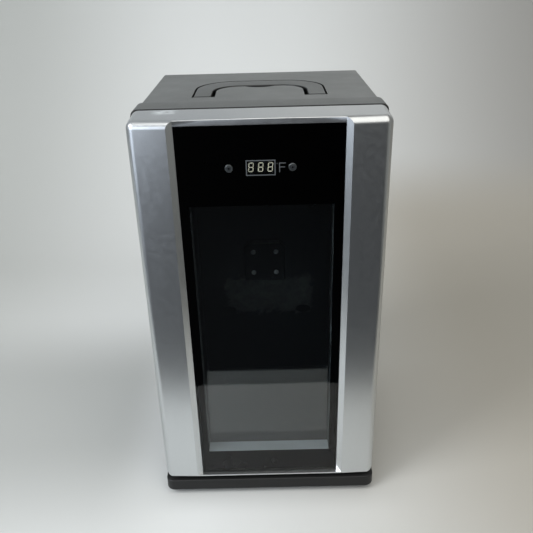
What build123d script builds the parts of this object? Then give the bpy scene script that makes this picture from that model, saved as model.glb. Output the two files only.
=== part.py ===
"""Thermoelectric wine cooler: free-standing cabinet, glazed door, folding carry handle.

Frame: X to the right, Y to the back, Z up, millimetres. The origin is on the floor under
the middle of the base, so the door faces -Y and the cooler stands on Z = 0.
"""

import math
import os

from build123d import *

# Overall sizes
DOOR_WIDTH = 250.0
DOOR_HEIGHT = 434.0
DOOR_THICKNESS = 40.0
DOOR_SETBACK = 2.0
DOOR_GAP = 5.0
SEAL_GAP = 5.0
BASE_OVERHANG = 1.0
BASE_DEPTH = 268.0
BASE_THICKNESS = 17.0
FOOT_HEIGHT = 5.0
CABINET_DROP = 4.0
REAR_INSET = 2.0

# Front rim, outer wrap and top
RIM_OVERHANG = 2.0
RIM_STEP = 3.5
RIM_DEPTH = 36.0
RIM_RISE = 2.6
RIM_FACE = 5.0
RIM_CORNER = 7.0
RIM_FOOT_CORNER = 6.0
RIM_FRONT_EDGE = 5.0
RIM_EDGE = 1.5
RIM_JOINT = 0.1
SHELL_WALL = 2.5
TOP_SKIRT = 8.0
TOP_EDGE = 3.0
WRAP_EDGE = 2.0

# Bottle compartment
SIDE_WALL = 37.5
FLOOR_RISE = 30.0
CEILING_DROP = 32.0
COMPARTMENT_CORNER = 4.0
LINER_WALL = 2.0
LINER_FLANGE = 8.0
REAR_FOAM = 24.0
REAR_SPACE = 44.5

# Door front
STILE_WIDTH = 38.0
STILE_BEVEL = 6.0
GLASS_RECESS = 4.0
GLASS_THICKNESS = 3.0
GLASS_TOP_MARGIN = 8.5
GLASS_BOTTOM_MARGIN = 1.6
LIP_EDGE = 1.0
TOP_FALL = 3.0
STILE_FALL = 1.5
DOOR_EDGE = 8.0
DOOR_BACK_EDGE = 3.0
DOOR_WALL = 3.0
GLASS_LEDGE = 2.5
BORDER_WIDTH = 9.5
WINDOW_RISE = 33.0
WINDOW_DROP = 89.0
PRINT_THICKNESS = 0.3
SPACER_DEPTH = 16.0
SPACER_WALL = 6.0
TUNNEL_OVERLAP = 4.0
TUNNEL_WALL = 3.0
FRAME_PLATE = 3.0
FRAME_FIT = 0.2
FRAME_SCREW_INSET = 19.0
FRAME_SCREW_MARGIN = 107.0
FRAME_BOSS_RADIUS = 4.0
FRAME_SCREW_RADIUS = 1.5
FRAME_SCREW_LENGTH = 14.0

# Door seal
SEAL_WIDTH = 10.0
SEAL_MARGIN = 1.5
SEAL_BASE = 1.4
SEAL_NECK = 0.8
SEAL_NECK_WIDTH = 4.0
SEAL_BULB_WIDTH = 8.0
SEAL_REST_GAP = 0.3
MAGNET_WIDTH = 5.0
MAGNET_THICKNESS = 1.4

# Door hinge
HINGE_INSET_X = 13.0
HINGE_INSET_Y = 14.0
HINGE_PIN_RADIUS = 3.0
HINGE_BUSH_RADIUS = 5.0
HINGE_BOSS_RADIUS = 8.0
HINGE_BUSH_LENGTH = 15.0
HINGE_RUNNING_GAP = 0.05
WASHER_RADIUS = 7.0
WASHER_REST_GAP = 0.1
TONGUE_DROP = 28.0
TONGUE_THICKNESS = 3.0
TONGUE_RADIUS = 8.0
TONGUE_GAP = 2.5
BRACKET_HEIGHT = 30.0
BRACKET_PLATE = 2.0
HINGE_SCREW_PITCH = 14.0

# Display and buttons
DISPLAY_DROP = 50.0
DISPLAY_WIDTH = 28.4
DISPLAY_HEIGHT = 15.4
DISPLAY_DEPTH = 8.0
BUTTON_SPACING = 61.0
BUTTON_RADIUS = 2.25
BUTTON_PROUD = 0.8
BUTTON_DIMPLE_RADIUS = 1.2
BUTTON_DIMPLE_DEPTH = 0.4
BUTTON_TRAVEL = 1.0
BUTTON_COLLAR_RADIUS = 3.6
BUTTON_COLLAR = 1.0
BEZEL_RADIUS = 3.8
BEZEL_PROUD = 0.6
BEZEL_TUBE_RADIUS = 3.1
BOARD_WIDTH = 92.0
BOARD_HEIGHT = 34.0
BOARD_THICKNESS = 1.6
BOARD_POST_RADIUS = 3.5
SWITCH_SIZE = 6.0
SWITCH_BODY = 3.5
SWITCH_PLUNGER_RADIUS = 1.75

# Carry handle
HANDLE_WIDTH = 144.0
HANDLE_ARM = 19.0
HANDLE_GRIP = 28.0
HANDLE_THICKNESS = 12.0
HANDLE_OUTER_CORNER = 45.0
HANDLE_INNER_CORNER = 30.0
HANDLE_SETBACK = 34.0
HANDLE_REAR_MARGIN = 11.0
HANDLE_EDGE = 1.5
HANDLE_OUTER_GAP = 1.5
HANDLE_INNER_GAP = 4.5
HANDLE_GRIP_GAP = 7.0
HANDLE_FRONT_GAP = 1.0
HANDLE_REST_GAP = 0.3
HANDLE_PIN_RADIUS = 2.0
HANDLE_PIN_ENTRY = 2.0
HANDLE_PIN_FIT = 0.02
SCOOP_WIDTH = 34.0
SCOOP_DEPTH = 6.5

# Base and feet
BASE_WALL = 3.0
BASE_CORNER = 10.0
BASE_EDGE = 1.5
BASE_TAPER = 3.0
FOOT_RADIUS = 9.0
FOOT_TIP_RADIUS = 7.5
FOOT_INSET_X = 22.0
FOOT_INSET_Y = 22.0
FOOT_SCREW_RADIUS = 2.0
FOOT_SCREW_HEAD = 3.6
FOOT_SCREW_HEAD_HEIGHT = 2.2
FOOT_SCREW_LENGTH = 24.0
FRONT_FOOT_SCREW_LENGTH = 15.0
FOOT_RECESS = 3.0

# Cooling unit
COLD_RISE = 204.0
COLD_PLATE_WIDTH = 54.0
COLD_PLATE_HEIGHT = 56.0
COLD_PLATE_THICKNESS = 8.0
COLD_PLATE_CHAMFER = 7.0
COLD_PLATE_EDGE = 1.5
COLD_SCREW_PITCH = 30.0
COLD_SCREW_RADIUS = 1.5
COLD_SCREW_HEAD = 3.2
COLD_SCREW_HEAD_HEIGHT = 2.0
COLD_SCREW_LENGTH = 10.0
COLD_BLOCK_WIDTH = 44.0
COLD_BLOCK_HEIGHT = 50.0
COLD_BLOCK_FLANGE = 12.0
MODULE_SIZE = 30.0
MODULE_THICKNESS = 3.6
MODULE_SEAL_SIZE = 60.0
MODULE_SEAL_GAP = 1.0
CLAMP_SCREW_OFFSET = 20.5
CLAMP_SCREW_RADIUS = 1.5
BULKHEAD = 2.0
SINK_WIDTH = 100.0
SINK_HEIGHT = 90.0
SINK_BASE = 5.0
SINK_FIN_DEPTH = 17.0
SINK_FIN = 1.6
SINK_FIN_COUNT = 17
FAN_SIZE = 80.0
FAN_DEPTH = 15.0
FAN_BORE = 38.5
FAN_BLADE_RADIUS = 36.5
FAN_HUB_RADIUS = 16.0
FAN_BLADES = 7
FAN_BLADE = 1.4
FAN_BLADE_PITCH = 38.0
FAN_SCREW_PITCH = 71.5
FAN_SCREW_RADIUS = 1.8
FAN_SHAFT_RADIUS = 1.5
FAN_STRUT = 3.0

# Rear panel, power supply and inlet
REAR_PANEL = 2.5
REAR_FIT = 0.2
REAR_POST_RADIUS = 4.0
REAR_SCREW_RADIUS = 1.6
REAR_SCREW_HEAD = 3.2
REAR_SCREW_HEAD_HEIGHT = 1.8
REAR_SCREW_LENGTH = 12.0
REAR_SCREW_MARGIN = 10.0
GRILLE_RING = 6.0
GRILLE_WEB = 3.0
LOUVRE_WIDTH = 70.0
LOUVRE_OFFSET = 43.0
LOUVRE_HEIGHT = 4.0
LOUVRE_PITCH = 9.0
LOUVRE_COUNT = 8
LOUVRE_DROP = 105.0
POWER_BOARD_WIDTH = 110.0
POWER_BOARD_HEIGHT = 70.0
POWER_BOARD_RISE = 85.0
POWER_BOARD_X = -30.0
POWER_POST = 6.0
TRANSFORMER_WIDTH = 28.0
TRANSFORMER_HEIGHT = 24.0
TRANSFORMER_DEPTH = 20.0
COOLER_OFFSET = 26.0
COOLER_SHEET = 2.0
COOLER_HEIGHT = 48.0
COOLER_DEPTH = 22.0
CAPACITOR_OFFSET = 39.0
CAPACITOR_SPREAD = 13.0
CAPACITOR_RADIUS = 8.0
CAPACITOR_DEPTH = 24.0
SMALL_CAPACITOR_RADIUS = 5.0
SMALL_CAPACITOR_DEPTH = 16.0
INLET_WIDTH = 27.0
INLET_HEIGHT = 20.0
INLET_DEPTH = 18.0
INLET_WALL = 1.6
INLET_FLOOR = 4.0
INLET_FLANGE = 2.0
INLET_FLANGE_MARGIN = 3.0
INLET_CHAMFER = 5.0
INLET_X = 78.0
INLET_RISE = 40.0
INLET_PIN_LENGTH = 8.0
INLET_PIN_WIDTH = 2.0
INLET_PIN_HEIGHT = 4.0
INLET_PIN_SPREAD = 7.0
INLET_PIN_STAGGER = 2.0

# Sensor and liner plugs
SENSOR_INSET = 24.0
SENSOR_RISE = 281.0
SENSOR_RADIUS = 4.0
SENSOR_PROUD = 5.0
PLUG_INSET = 35.5
PLUG_RISE = 127.5
PLUG_WIDTH = 20.0
PLUG_HEIGHT = 11.0
PLUG_PROUD = 1.6
PLUG_LIP = 1.5

# Widths worked out from the door's width
BASE_WIDTH = DOOR_WIDTH + 2 * BASE_OVERHANG
RIM_WIDTH = BASE_WIDTH + 2 * RIM_OVERHANG
CABINET_WIDTH = RIM_WIDTH - 2 * RIM_STEP
COMPARTMENT_WIDTH = CABINET_WIDTH - 2 * SIDE_WALL
STILE_INNER = DOOR_WIDTH / 2 - STILE_WIDTH
GLASS_WIDTH = 2 * (STILE_INNER - STILE_BEVEL)
WINDOW_WIDTH = GLASS_WIDTH - 2 * BORDER_WIDTH
FRAME_SCREW_X = DOOR_WIDTH / 2 - FRAME_SCREW_INSET
SENSOR_X = COMPARTMENT_WIDTH / 2 - SENSOR_INSET
PLUG_X = COMPARTMENT_WIDTH / 2 - PLUG_INSET
FOOT_X = BASE_WIDTH / 2 - FOOT_INSET_X
HINGE_X = DOOR_WIDTH / 2 - HINGE_INSET_X

# Heights worked out from the floor up
BASE_TOP = FOOT_HEIGHT + BASE_THICKNESS
DOOR_BOTTOM = BASE_TOP + DOOR_GAP
DOOR_TOP = DOOR_BOTTOM + DOOR_HEIGHT
CABINET_TOP = DOOR_TOP - CABINET_DROP
RIM_TOP = CABINET_TOP + RIM_RISE
WRAP_TOP = CABINET_TOP - TOP_SKIRT
FLOOR_Z = BASE_TOP + FLOOR_RISE
CEILING_Z = CABINET_TOP - CEILING_DROP
COLD_Z = BASE_TOP + COLD_RISE
GLASS_BOTTOM = DOOR_BOTTOM + GLASS_BOTTOM_MARGIN
GLASS_TOP = DOOR_TOP - GLASS_TOP_MARGIN
WINDOW_BOTTOM = DOOR_BOTTOM + WINDOW_RISE
WINDOW_TOP = DOOR_TOP - WINDOW_DROP
DISPLAY_Z = DOOR_TOP - DISPLAY_DROP
TONGUE_TOP = DOOR_TOP - TONGUE_DROP
TONGUE_BOTTOM = TONGUE_TOP - TONGUE_THICKNESS
SLOT_TOP = TONGUE_TOP + TONGUE_GAP
SLOT_BOTTOM = TONGUE_BOTTOM - TONGUE_GAP
PIVOT_Z = CABINET_TOP - HANDLE_THICKNESS / 2
POCKET_FLOOR = CABINET_TOP - HANDLE_THICKNESS - HANDLE_REST_GAP

# Depths worked out from the door's front to the rear panel
DOOR_FRONT = -BASE_DEPTH / 2 + DOOR_SETBACK
DOOR_BACK = DOOR_FRONT + DOOR_THICKNESS
RIM_FRONT = DOOR_BACK + SEAL_GAP
RIM_REAR = RIM_FRONT + RIM_DEPTH
LINER_FRONT = RIM_FRONT + RIM_FACE
SHELL_REAR = BASE_DEPTH / 2 - REAR_INSET
PANEL_FRONT = SHELL_REAR - REAR_PANEL
FOAM_REAR = PANEL_FRONT - REAR_SPACE
LINER_REAR = FOAM_REAR - REAR_FOAM - LINER_WALL
BULKHEAD_REAR = FOAM_REAR + BULKHEAD
GLASS_FRONT = DOOR_FRONT + GLASS_RECESS
GLASS_REAR = GLASS_FRONT + GLASS_THICKNESS
PRINT_REAR = GLASS_REAR + PRINT_THICKNESS
SPACER_REAR = PRINT_REAR + SPACER_DEPTH
INNER_PANE_REAR = SPACER_REAR + GLASS_THICKNESS
FRAME_FRONT = DOOR_BACK - FRAME_PLATE
HINGE_Y = DOOR_BACK - HINGE_INSET_Y
BOARD_FRONT = PRINT_REAR + DISPLAY_DEPTH
BOARD_REAR = BOARD_FRONT + BOARD_THICKNESS
MODULE_REAR = FOAM_REAR + MODULE_THICKNESS
SINK_REAR = MODULE_REAR + SINK_BASE + SINK_FIN_DEPTH
FAN_REAR = SINK_REAR + FAN_DEPTH
HANDLE_FRONT = RIM_REAR + HANDLE_SETBACK
HANDLE_LENGTH = FOAM_REAR - HANDLE_REAR_MARGIN - HANDLE_FRONT
PIVOT_Y = HANDLE_FRONT + HANDLE_THICKNESS / 2
FOOT_Y = BASE_DEPTH / 2 - FOOT_INSET_Y

# Fits and allowances
HINGE_BORE = HINGE_PIN_RADIUS + HINGE_RUNNING_GAP
SCREW_CROWN = 0.4
CUT = 1.0


def slab(face, y_near, y_far):
    """A front-view face, drawn in x and z, made solid between two depths."""
    plane = Plane(origin=(0, y_far, 0), x_dir=(1, 0, 0), z_dir=(0, -1, 0))
    return extrude(plane * face, amount=y_far - y_near)


def prism(face, z_low, z_high):
    """A plan-view face, drawn in x and y, made solid between two heights."""
    return extrude(Pos(0, 0, z_low) * face, amount=z_high - z_low)


def rect(x_low, x_high, v_low, v_high, corner=0.0):
    """A rectangle by its limits, with every corner rounded alike."""
    width, height = x_high - x_low, v_high - v_low
    shape = RectangleRounded(width, height, corner) if corner else Rectangle(width, height)
    return Pos((x_low + x_high) / 2, (v_low + v_high) / 2) * shape


def block(x_low, x_high, y_low, y_high, z_low, z_high):
    """A box by its limits."""
    return slab(rect(x_low, x_high, z_low, z_high), y_low, y_high)


def rod(radius, start, direction, length):
    """A round bar from a start point along a direction."""
    plane = Plane(origin=start, z_dir=direction)
    return plane * Cylinder(radius, length, align=(Align.CENTER, Align.CENTER, Align.MIN))


def arch(half_width, front, rear, corner):
    """A plan-view tongue from front to rear whose two rear corners are rounded."""
    face = rect(-half_width, half_width, front, rear)
    return fillet(face.vertices().sort_by(Axis.Y)[-2:], corner)


def group(solids):
    """Several separate solids as one node."""
    return Compound(children=[solid for item in solids for solid in item.solids()])


def screw(radius, head_radius, head_height, length, start, direction):
    """A pan-head screw: the seat of its head is at start and the shank runs along direction."""
    back = tuple(-d for d in direction)
    head = rod(head_radius, start, back, head_height)
    crown = head.edges().filter_by(GeomType.CIRCLE).sort_by(Axis(start, back))[-1]
    return chamfer(crown, head_height * SCREW_CROWN) + rod(radius, start, direction, length)


# Cabinet outlines in front view, shared by the pieces that fit in one another

def cabinet_outline(inset=0.0, top=CABINET_TOP):
    """The wrap's outline, taken in by an inset on every side."""
    half = CABINET_WIDTH / 2 - inset
    return rect(-half, half, BASE_TOP + inset, top - inset)


def compartment_outline(grow=0.0):
    """The bottle compartment's outline, grown on every side."""
    half = COMPARTMENT_WIDTH / 2 + grow
    return rect(-half, half, FLOOR_Z - grow, CEILING_Z + grow, COMPARTMENT_CORNER + grow)


def cold_outline(width, height):
    """A rectangle centred on the cooling unit's axis."""
    return rect(-width / 2, width / 2, COLD_Z - height / 2, COLD_Z + height / 2)


def plug_outline(side, shrink=0.0):
    """The oval of a liner plug."""
    oval = Ellipse(PLUG_WIDTH / 2 - shrink, PLUG_HEIGHT / 2 - shrink)
    return Pos(side * PLUG_X, BASE_TOP + PLUG_RISE) * oval


def rear_post_places():
    """Where the rear panel is screwed to the posts of the bulkhead."""
    half = CABINET_WIDTH / 2 - SHELL_WALL - REAR_SCREW_MARGIN
    low = BASE_TOP + SHELL_WALL + REAR_SCREW_MARGIN
    high = CABINET_TOP - SHELL_WALL - HANDLE_THICKNESS - REAR_SCREW_MARGIN
    return [(side * half, z) for side in (-1, 1) for z in (low, (low + high) / 2, high)]


def power_post_places():
    """Where the power board stands on the bulkhead."""
    half_width = POWER_BOARD_WIDTH / 2 - POWER_POST
    half_height = POWER_BOARD_HEIGHT / 2 - POWER_POST
    middle = BASE_TOP + POWER_BOARD_RISE
    return [
        (POWER_BOARD_X + i * half_width, middle + j * half_height) for i in (-1, 1) for j in (-1, 1)
    ]


def handle_outline(grow=0.0):
    """The handle's outer arch in plan."""
    half = HANDLE_WIDTH / 2 + grow
    rear = HANDLE_FRONT + HANDLE_LENGTH + grow
    return arch(half, HANDLE_FRONT, rear, HANDLE_OUTER_CORNER + grow)


def handle_inside(arm_gap=0.0, grip_gap=0.0):
    """The space inside the handle's arch in plan, open to the front, less a gap all along it."""
    half = HANDLE_WIDTH / 2 - HANDLE_ARM - arm_gap
    rear = HANDLE_FRONT + HANDLE_LENGTH - HANDLE_GRIP - grip_gap
    return arch(half, HANDLE_FRONT - HANDLE_LENGTH, rear, HANDLE_INNER_CORNER - arm_gap)


def pocket_outline():
    """The pocket in the top: the handle's arch with its gaps and the finger scoop."""
    front = HANDLE_FRONT - HANDLE_FRONT_GAP
    half = HANDLE_WIDTH / 2 + HANDLE_OUTER_GAP
    outer = handle_outline(HANDLE_OUTER_GAP) + rect(-half, half, front, HANDLE_FRONT + CUT)
    island = handle_inside(HANDLE_INNER_GAP, HANDLE_GRIP_GAP)
    island_rear = HANDLE_FRONT + HANDLE_LENGTH - HANDLE_GRIP - HANDLE_GRIP_GAP
    scoop_radius = ((SCOOP_WIDTH / 2) ** 2 + SCOOP_DEPTH**2) / (2 * SCOOP_DEPTH)
    scoop = Pos(0, island_rear - SCOOP_DEPTH + scoop_radius) * Circle(scoop_radius)
    return outer - (island - scoop)


def tub_outline():
    """The pocket's outline with its moulded wall."""
    return offset(pocket_outline(), SHELL_WALL)


# Cabinet pieces

def side_wrap():
    """The dark outer sheet: both sides and the bottom in one bent U."""
    outer = cabinet_outline(top=WRAP_TOP)
    outer = fillet(outer.vertices().sort_by(Axis.Y)[:2], WRAP_EDGE)
    half = CABINET_WIDTH / 2 - SHELL_WALL
    inner = rect(-half, half, BASE_TOP + SHELL_WALL, WRAP_TOP + CUT)
    wrap = slab(outer - inner, LINER_FRONT, SHELL_REAR)
    for x, y, _ in rear_feet():
        wrap -= rod(FOOT_SCREW_RADIUS, (x, y, BASE_TOP - CUT), (0, 0, 1), SHELL_WALL + 2 * CUT)
    return wrap


def top_panel():
    """The moulded top with its turned-down edges and the pocket that the handle folds into."""
    half = CABINET_WIDTH / 2
    outer = rect(-half, half, WRAP_TOP, CABINET_TOP)
    outer = fillet(outer.vertices().sort_by(Axis.Y)[-2:], TOP_EDGE)
    hollow = rect(-half + SHELL_WALL, half - SHELL_WALL, WRAP_TOP - CUT, CABINET_TOP - SHELL_WALL)
    panel = slab(outer - hollow, LINER_FRONT, SHELL_REAR)
    panel += prism(tub_outline(), POCKET_FLOOR - SHELL_WALL, CABINET_TOP - SHELL_WALL / 2)
    panel -= prism(pocket_outline(), POCKET_FLOOR, CABINET_TOP + CUT)
    for side in (-1, 1):
        panel -= handle_pin(side, HANDLE_PIN_ENTRY, HANDLE_PIN_FIT)
    return panel


def handle_pin(side, entry, grow=0.0):
    """A pivot pin through one foot of the handle and the pocket's walls beside it."""
    inner = HANDLE_WIDTH / 2 - HANDLE_ARM - HANDLE_INNER_GAP - entry
    outer = HANDLE_WIDTH / 2 + HANDLE_OUTER_GAP + entry
    start = side * inner
    return rod(HANDLE_PIN_RADIUS + grow, (start, PIVOT_Y, PIVOT_Z), (side, 0, 0), outer - inner)


def front_rim():
    """The collar round the cabinet's mouth, in four lengths, that the door seals against."""
    half = RIM_WIDTH / 2
    outer = rect(-half, half, BASE_TOP, RIM_TOP)
    outer = fillet(outer.vertices().sort_by(Axis.Y)[-2:], RIM_CORNER)
    outer = fillet(outer.vertices().sort_by(Axis.Y)[:2], RIM_FOOT_CORNER)
    rim = slab(outer, RIM_FRONT, RIM_REAR)
    rim = fillet(rim.faces().sort_by(Axis.Y)[0].edges(), RIM_FRONT_EDGE)
    rim = fillet(rim.faces().sort_by(Axis.Y)[-1].edges(), RIM_EDGE)
    rim -= slab(compartment_outline(), RIM_FRONT - CUT, LINER_FRONT + CUT)
    side = CABINET_WIDTH / 2
    core = rect(-side, side, BASE_TOP - CUT, CABINET_TOP)
    core = fillet(core.vertices().sort_by(Axis.Y)[-2:], TOP_EDGE)
    rim -= slab(core, LINER_FRONT, RIM_REAR + CUT)
    seam = COMPARTMENT_WIDTH / 2 - COMPARTMENT_CORNER / 2
    depth = (RIM_FRONT - CUT, RIM_REAR + CUT)
    for side in (-1, 1):
        left = side * seam - RIM_JOINT / 2
        rim -= block(left, left + RIM_JOINT, *depth, BASE_TOP - CUT, RIM_TOP + CUT)
    return rim - hinge_bracket_plate(CUT) - hinge_screw_holes()


def inner_liner():
    """The black compartment: five walls and a flange behind the rim."""
    liner = slab(compartment_outline(LINER_WALL), LINER_FRONT, LINER_REAR + LINER_WALL)
    liner += slab(compartment_outline(LINER_FLANGE), LINER_FRONT, LINER_FRONT + LINER_WALL)
    liner -= slab(compartment_outline(), LINER_FRONT - CUT, LINER_REAR)
    wall = (LINER_REAR - CUT, LINER_REAR + LINER_WALL + CUT)
    liner -= slab(cold_outline(COLD_BLOCK_WIDTH, COLD_BLOCK_HEIGHT), *wall)
    for side in (-1, 1):
        liner -= slab(plug_outline(side, PLUG_LIP), *wall)
    return liner - slab(sensor_outline(SENSOR_RADIUS / 2), *wall)


def sensor_outline(radius):
    """A disc on the sensor's axis."""
    return Pos(SENSOR_X, BASE_TOP + SENSOR_RISE) * Circle(radius)


def foam_insulation():
    """The foam between liner, wrap and bulkhead."""
    foam = slab(cabinet_outline(SHELL_WALL), LINER_FRONT, FOAM_REAR)
    foam -= slab(compartment_outline(LINER_WALL), LINER_FRONT - CUT, LINER_REAR + LINER_WALL)
    foam -= slab(compartment_outline(LINER_FLANGE), LINER_FRONT - CUT, LINER_FRONT + LINER_WALL)
    foam -= prism(tub_outline(), POCKET_FLOOR - SHELL_WALL, CABINET_TOP)
    half = CABINET_WIDTH / 2
    rounded = rect(-half, half, WRAP_TOP - CUT, CABINET_TOP)
    edge = rounded - fillet(rounded.vertices().sort_by(Axis.Y)[-2:], TOP_EDGE)
    foam -= slab(edge, LINER_FRONT - CUT, FOAM_REAR + CUT)
    wall = (LINER_REAR, FOAM_REAR + CUT)
    foam -= slab(cold_outline(COLD_BLOCK_WIDTH, COLD_BLOCK_HEIGHT), *wall)
    for side in (-1, 1):
        foam -= slab(plug_outline(side, PLUG_LIP), LINER_REAR, LINER_REAR + 2 * LINER_WALL)
    foam -= slab(sensor_outline(SENSOR_RADIUS / 2), LINER_REAR, LINER_REAR + 2 * LINER_WALL)
    for x, y, length in rear_feet():
        foam -= rod(FOOT_SCREW_RADIUS, (x, y, BASE_TOP), (0, 0, 1), length)
    return foam - hinge_screw_holes()


def rear_bulkhead():
    """The plate behind the foam, with posts for the rear panel and the power board."""
    plate = slab(cabinet_outline(SHELL_WALL), FOAM_REAR, BULKHEAD_REAR)
    mouth = cold_outline(MODULE_SEAL_SIZE, MODULE_SEAL_SIZE)
    plate -= slab(mouth, FOAM_REAR - CUT, BULKHEAD_REAR + CUT)
    for x, z in rear_post_places():
        plate += rod(REAR_POST_RADIUS, (x, FOAM_REAR, z), (0, 1, 0), PANEL_FRONT - FOAM_REAR)
        hole_start = (x, PANEL_FRONT - REAR_SCREW_LENGTH, z)
        plate -= rod(REAR_SCREW_RADIUS, hole_start, (0, 1, 0), REAR_SCREW_LENGTH + CUT)
    for x, z in power_post_places():
        plate += rod(REAR_POST_RADIUS, (x, FOAM_REAR, z), (0, 1, 0), BULKHEAD + POWER_POST)
    return plate


# Base, feet and their screws

def foot_places():
    """The plan places of the four feet, each with its screw's length."""
    front = [(side * FOOT_X, -FOOT_Y, FRONT_FOOT_SCREW_LENGTH) for side in (-1, 1)]
    return front + rear_feet()


def rear_feet():
    """The two rear feet, whose longer screws also hold the wrap to the base."""
    return [(side * FOOT_X, FOOT_Y, FOOT_SCREW_LENGTH) for side in (-1, 1)]


def base_tray():
    """The black plinth: a tray open below, with bosses for the feet and the hinge pin."""
    plan = RectangleRounded(BASE_WIDTH, BASE_DEPTH, BASE_CORNER)
    tray = prism(plan, FOOT_HEIGHT, BASE_TOP)
    tray = fillet(tray.faces().sort_by(Axis.Z)[-1].edges(), BASE_EDGE)
    tray = chamfer(tray.faces().sort_by(Axis.Z)[0].edges(), BASE_TAPER)
    inset = 2 * (BASE_WALL + BASE_TAPER)
    hollow = RectangleRounded(BASE_WIDTH - inset, BASE_DEPTH - inset, BASE_CORNER)
    tray -= prism(hollow, FOOT_HEIGHT - CUT, BASE_TOP - BASE_WALL)
    boss_height = BASE_THICKNESS - BASE_WALL / 2
    for x, y, _ in foot_places():
        tray += rod(FOOT_RADIUS, (x, y, FOOT_HEIGHT), (0, 0, 1), boss_height)
    hinge_boss = (HINGE_X, HINGE_Y, FOOT_HEIGHT + BASE_WALL)
    tray += rod(HINGE_BOSS_RADIUS, hinge_boss, (0, 0, 1), boss_height - BASE_WALL)
    for x, y, length in foot_places():
        tray -= rod(FOOT_SCREW_RADIUS, (x, y, FOOT_RECESS), (0, 0, 1), length)
    return tray - rod(HINGE_PIN_RADIUS, (HINGE_X, HINGE_Y, pin_foot()), (0, 0, 1), BASE_THICKNESS)


def pin_foot():
    """The height of the lower hinge pin's buried end."""
    return FOOT_HEIGHT + 2 * BASE_WALL


def rubber_feet():
    """Four tapered rubber feet with a recess for the screw's head."""
    feet = []
    for x, y, _ in foot_places():
        foot = Pos(x, y, FOOT_HEIGHT / 2) * Cone(FOOT_TIP_RADIUS, FOOT_RADIUS, FOOT_HEIGHT)
        foot -= rod(FOOT_SCREW_HEAD + CUT / 2, (x, y, -CUT), (0, 0, 1), FOOT_RECESS + CUT)
        feet.append(foot - rod(FOOT_SCREW_RADIUS, (x, y, 0), (0, 0, 1), FOOT_HEIGHT + CUT))
    return group(feet)


def foot_screws():
    """Four screws that hold feet, base and wrap together."""
    head = (FOOT_SCREW_RADIUS, FOOT_SCREW_HEAD, FOOT_SCREW_HEAD_HEIGHT)
    up = (0, 0, 1)
    return group([screw(*head, length, (x, y, FOOT_RECESS), up) for x, y, length in foot_places()])


# Cooling unit

def cold_plate():
    """The black plate on the compartment's back wall, its upper corners cut off."""
    face = cold_outline(COLD_PLATE_WIDTH, COLD_PLATE_HEIGHT)
    face = chamfer(face.vertices().sort_by(Axis.Y)[-2:], COLD_PLATE_CHAMFER)
    plate = slab(face, LINER_REAR - COLD_PLATE_THICKNESS, LINER_REAR)
    plate = chamfer(plate.faces().sort_by(Axis.Y)[0].edges(), COLD_PLATE_EDGE)
    for x, z in cold_screw_places():
        start = (x, LINER_REAR - COLD_PLATE_THICKNESS - CUT, z)
        plate -= rod(COLD_SCREW_RADIUS, start, (0, 1, 0), COLD_PLATE_THICKNESS + 2 * CUT)
    return plate


def cold_screw_places():
    """The four corners of the cold plate's screws, in x and z."""
    half = COLD_SCREW_PITCH / 2
    return [(i * half, COLD_Z + j * half) for i in (-1, 1) for j in (-1, 1)]


def cold_plate_screws():
    """Four screws that hold the cold plate to the cold block."""
    length = COLD_PLATE_THICKNESS + COLD_SCREW_LENGTH
    sizes = (COLD_SCREW_RADIUS, COLD_SCREW_HEAD, COLD_SCREW_HEAD_HEIGHT, length)
    seat = LINER_REAR - COLD_PLATE_THICKNESS
    return group([screw(*sizes, (x, seat, z), (0, 1, 0)) for x, z in cold_screw_places()])


def clamp_places():
    """The two clamp screws above and below the module, in x and z."""
    return [(0, COLD_Z + side * CLAMP_SCREW_OFFSET) for side in (-1, 1)]


def cold_block():
    """The aluminium block that carries cold through the foam."""
    block_flange = LINER_REAR + COLD_BLOCK_FLANGE
    shape = slab(cold_outline(COLD_BLOCK_WIDTH, COLD_BLOCK_HEIGHT), LINER_REAR, block_flange)
    shape += slab(cold_outline(MODULE_SIZE, MODULE_SIZE), LINER_REAR, FOAM_REAR)
    for x, z in cold_screw_places():
        shape -= rod(COLD_SCREW_RADIUS, (x, LINER_REAR - CUT, z), (0, 1, 0), COLD_SCREW_LENGTH + CUT)
    for x, z in clamp_places():
        shape -= rod(CLAMP_SCREW_RADIUS, (x, LINER_REAR + BULKHEAD, z), (0, 1, 0), REAR_FOAM)
    return shape


def peltier_module():
    """The thermoelectric module between cold block and heat sink."""
    return slab(cold_outline(MODULE_SIZE, MODULE_SIZE), FOAM_REAR, MODULE_REAR)


def module_seal():
    """The foam ring that keeps damp air off the module."""
    inner = MODULE_SIZE + 2 * MODULE_SEAL_GAP
    ring = cold_outline(MODULE_SEAL_SIZE, MODULE_SEAL_SIZE) - cold_outline(inner, inner)
    seal = slab(ring, FOAM_REAR, MODULE_REAR)
    for x, z in clamp_places():
        seal -= rod(CLAMP_SCREW_RADIUS, (x, FOAM_REAR - CUT, z), (0, 1, 0), MODULE_THICKNESS + 2 * CUT)
    return seal


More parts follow.
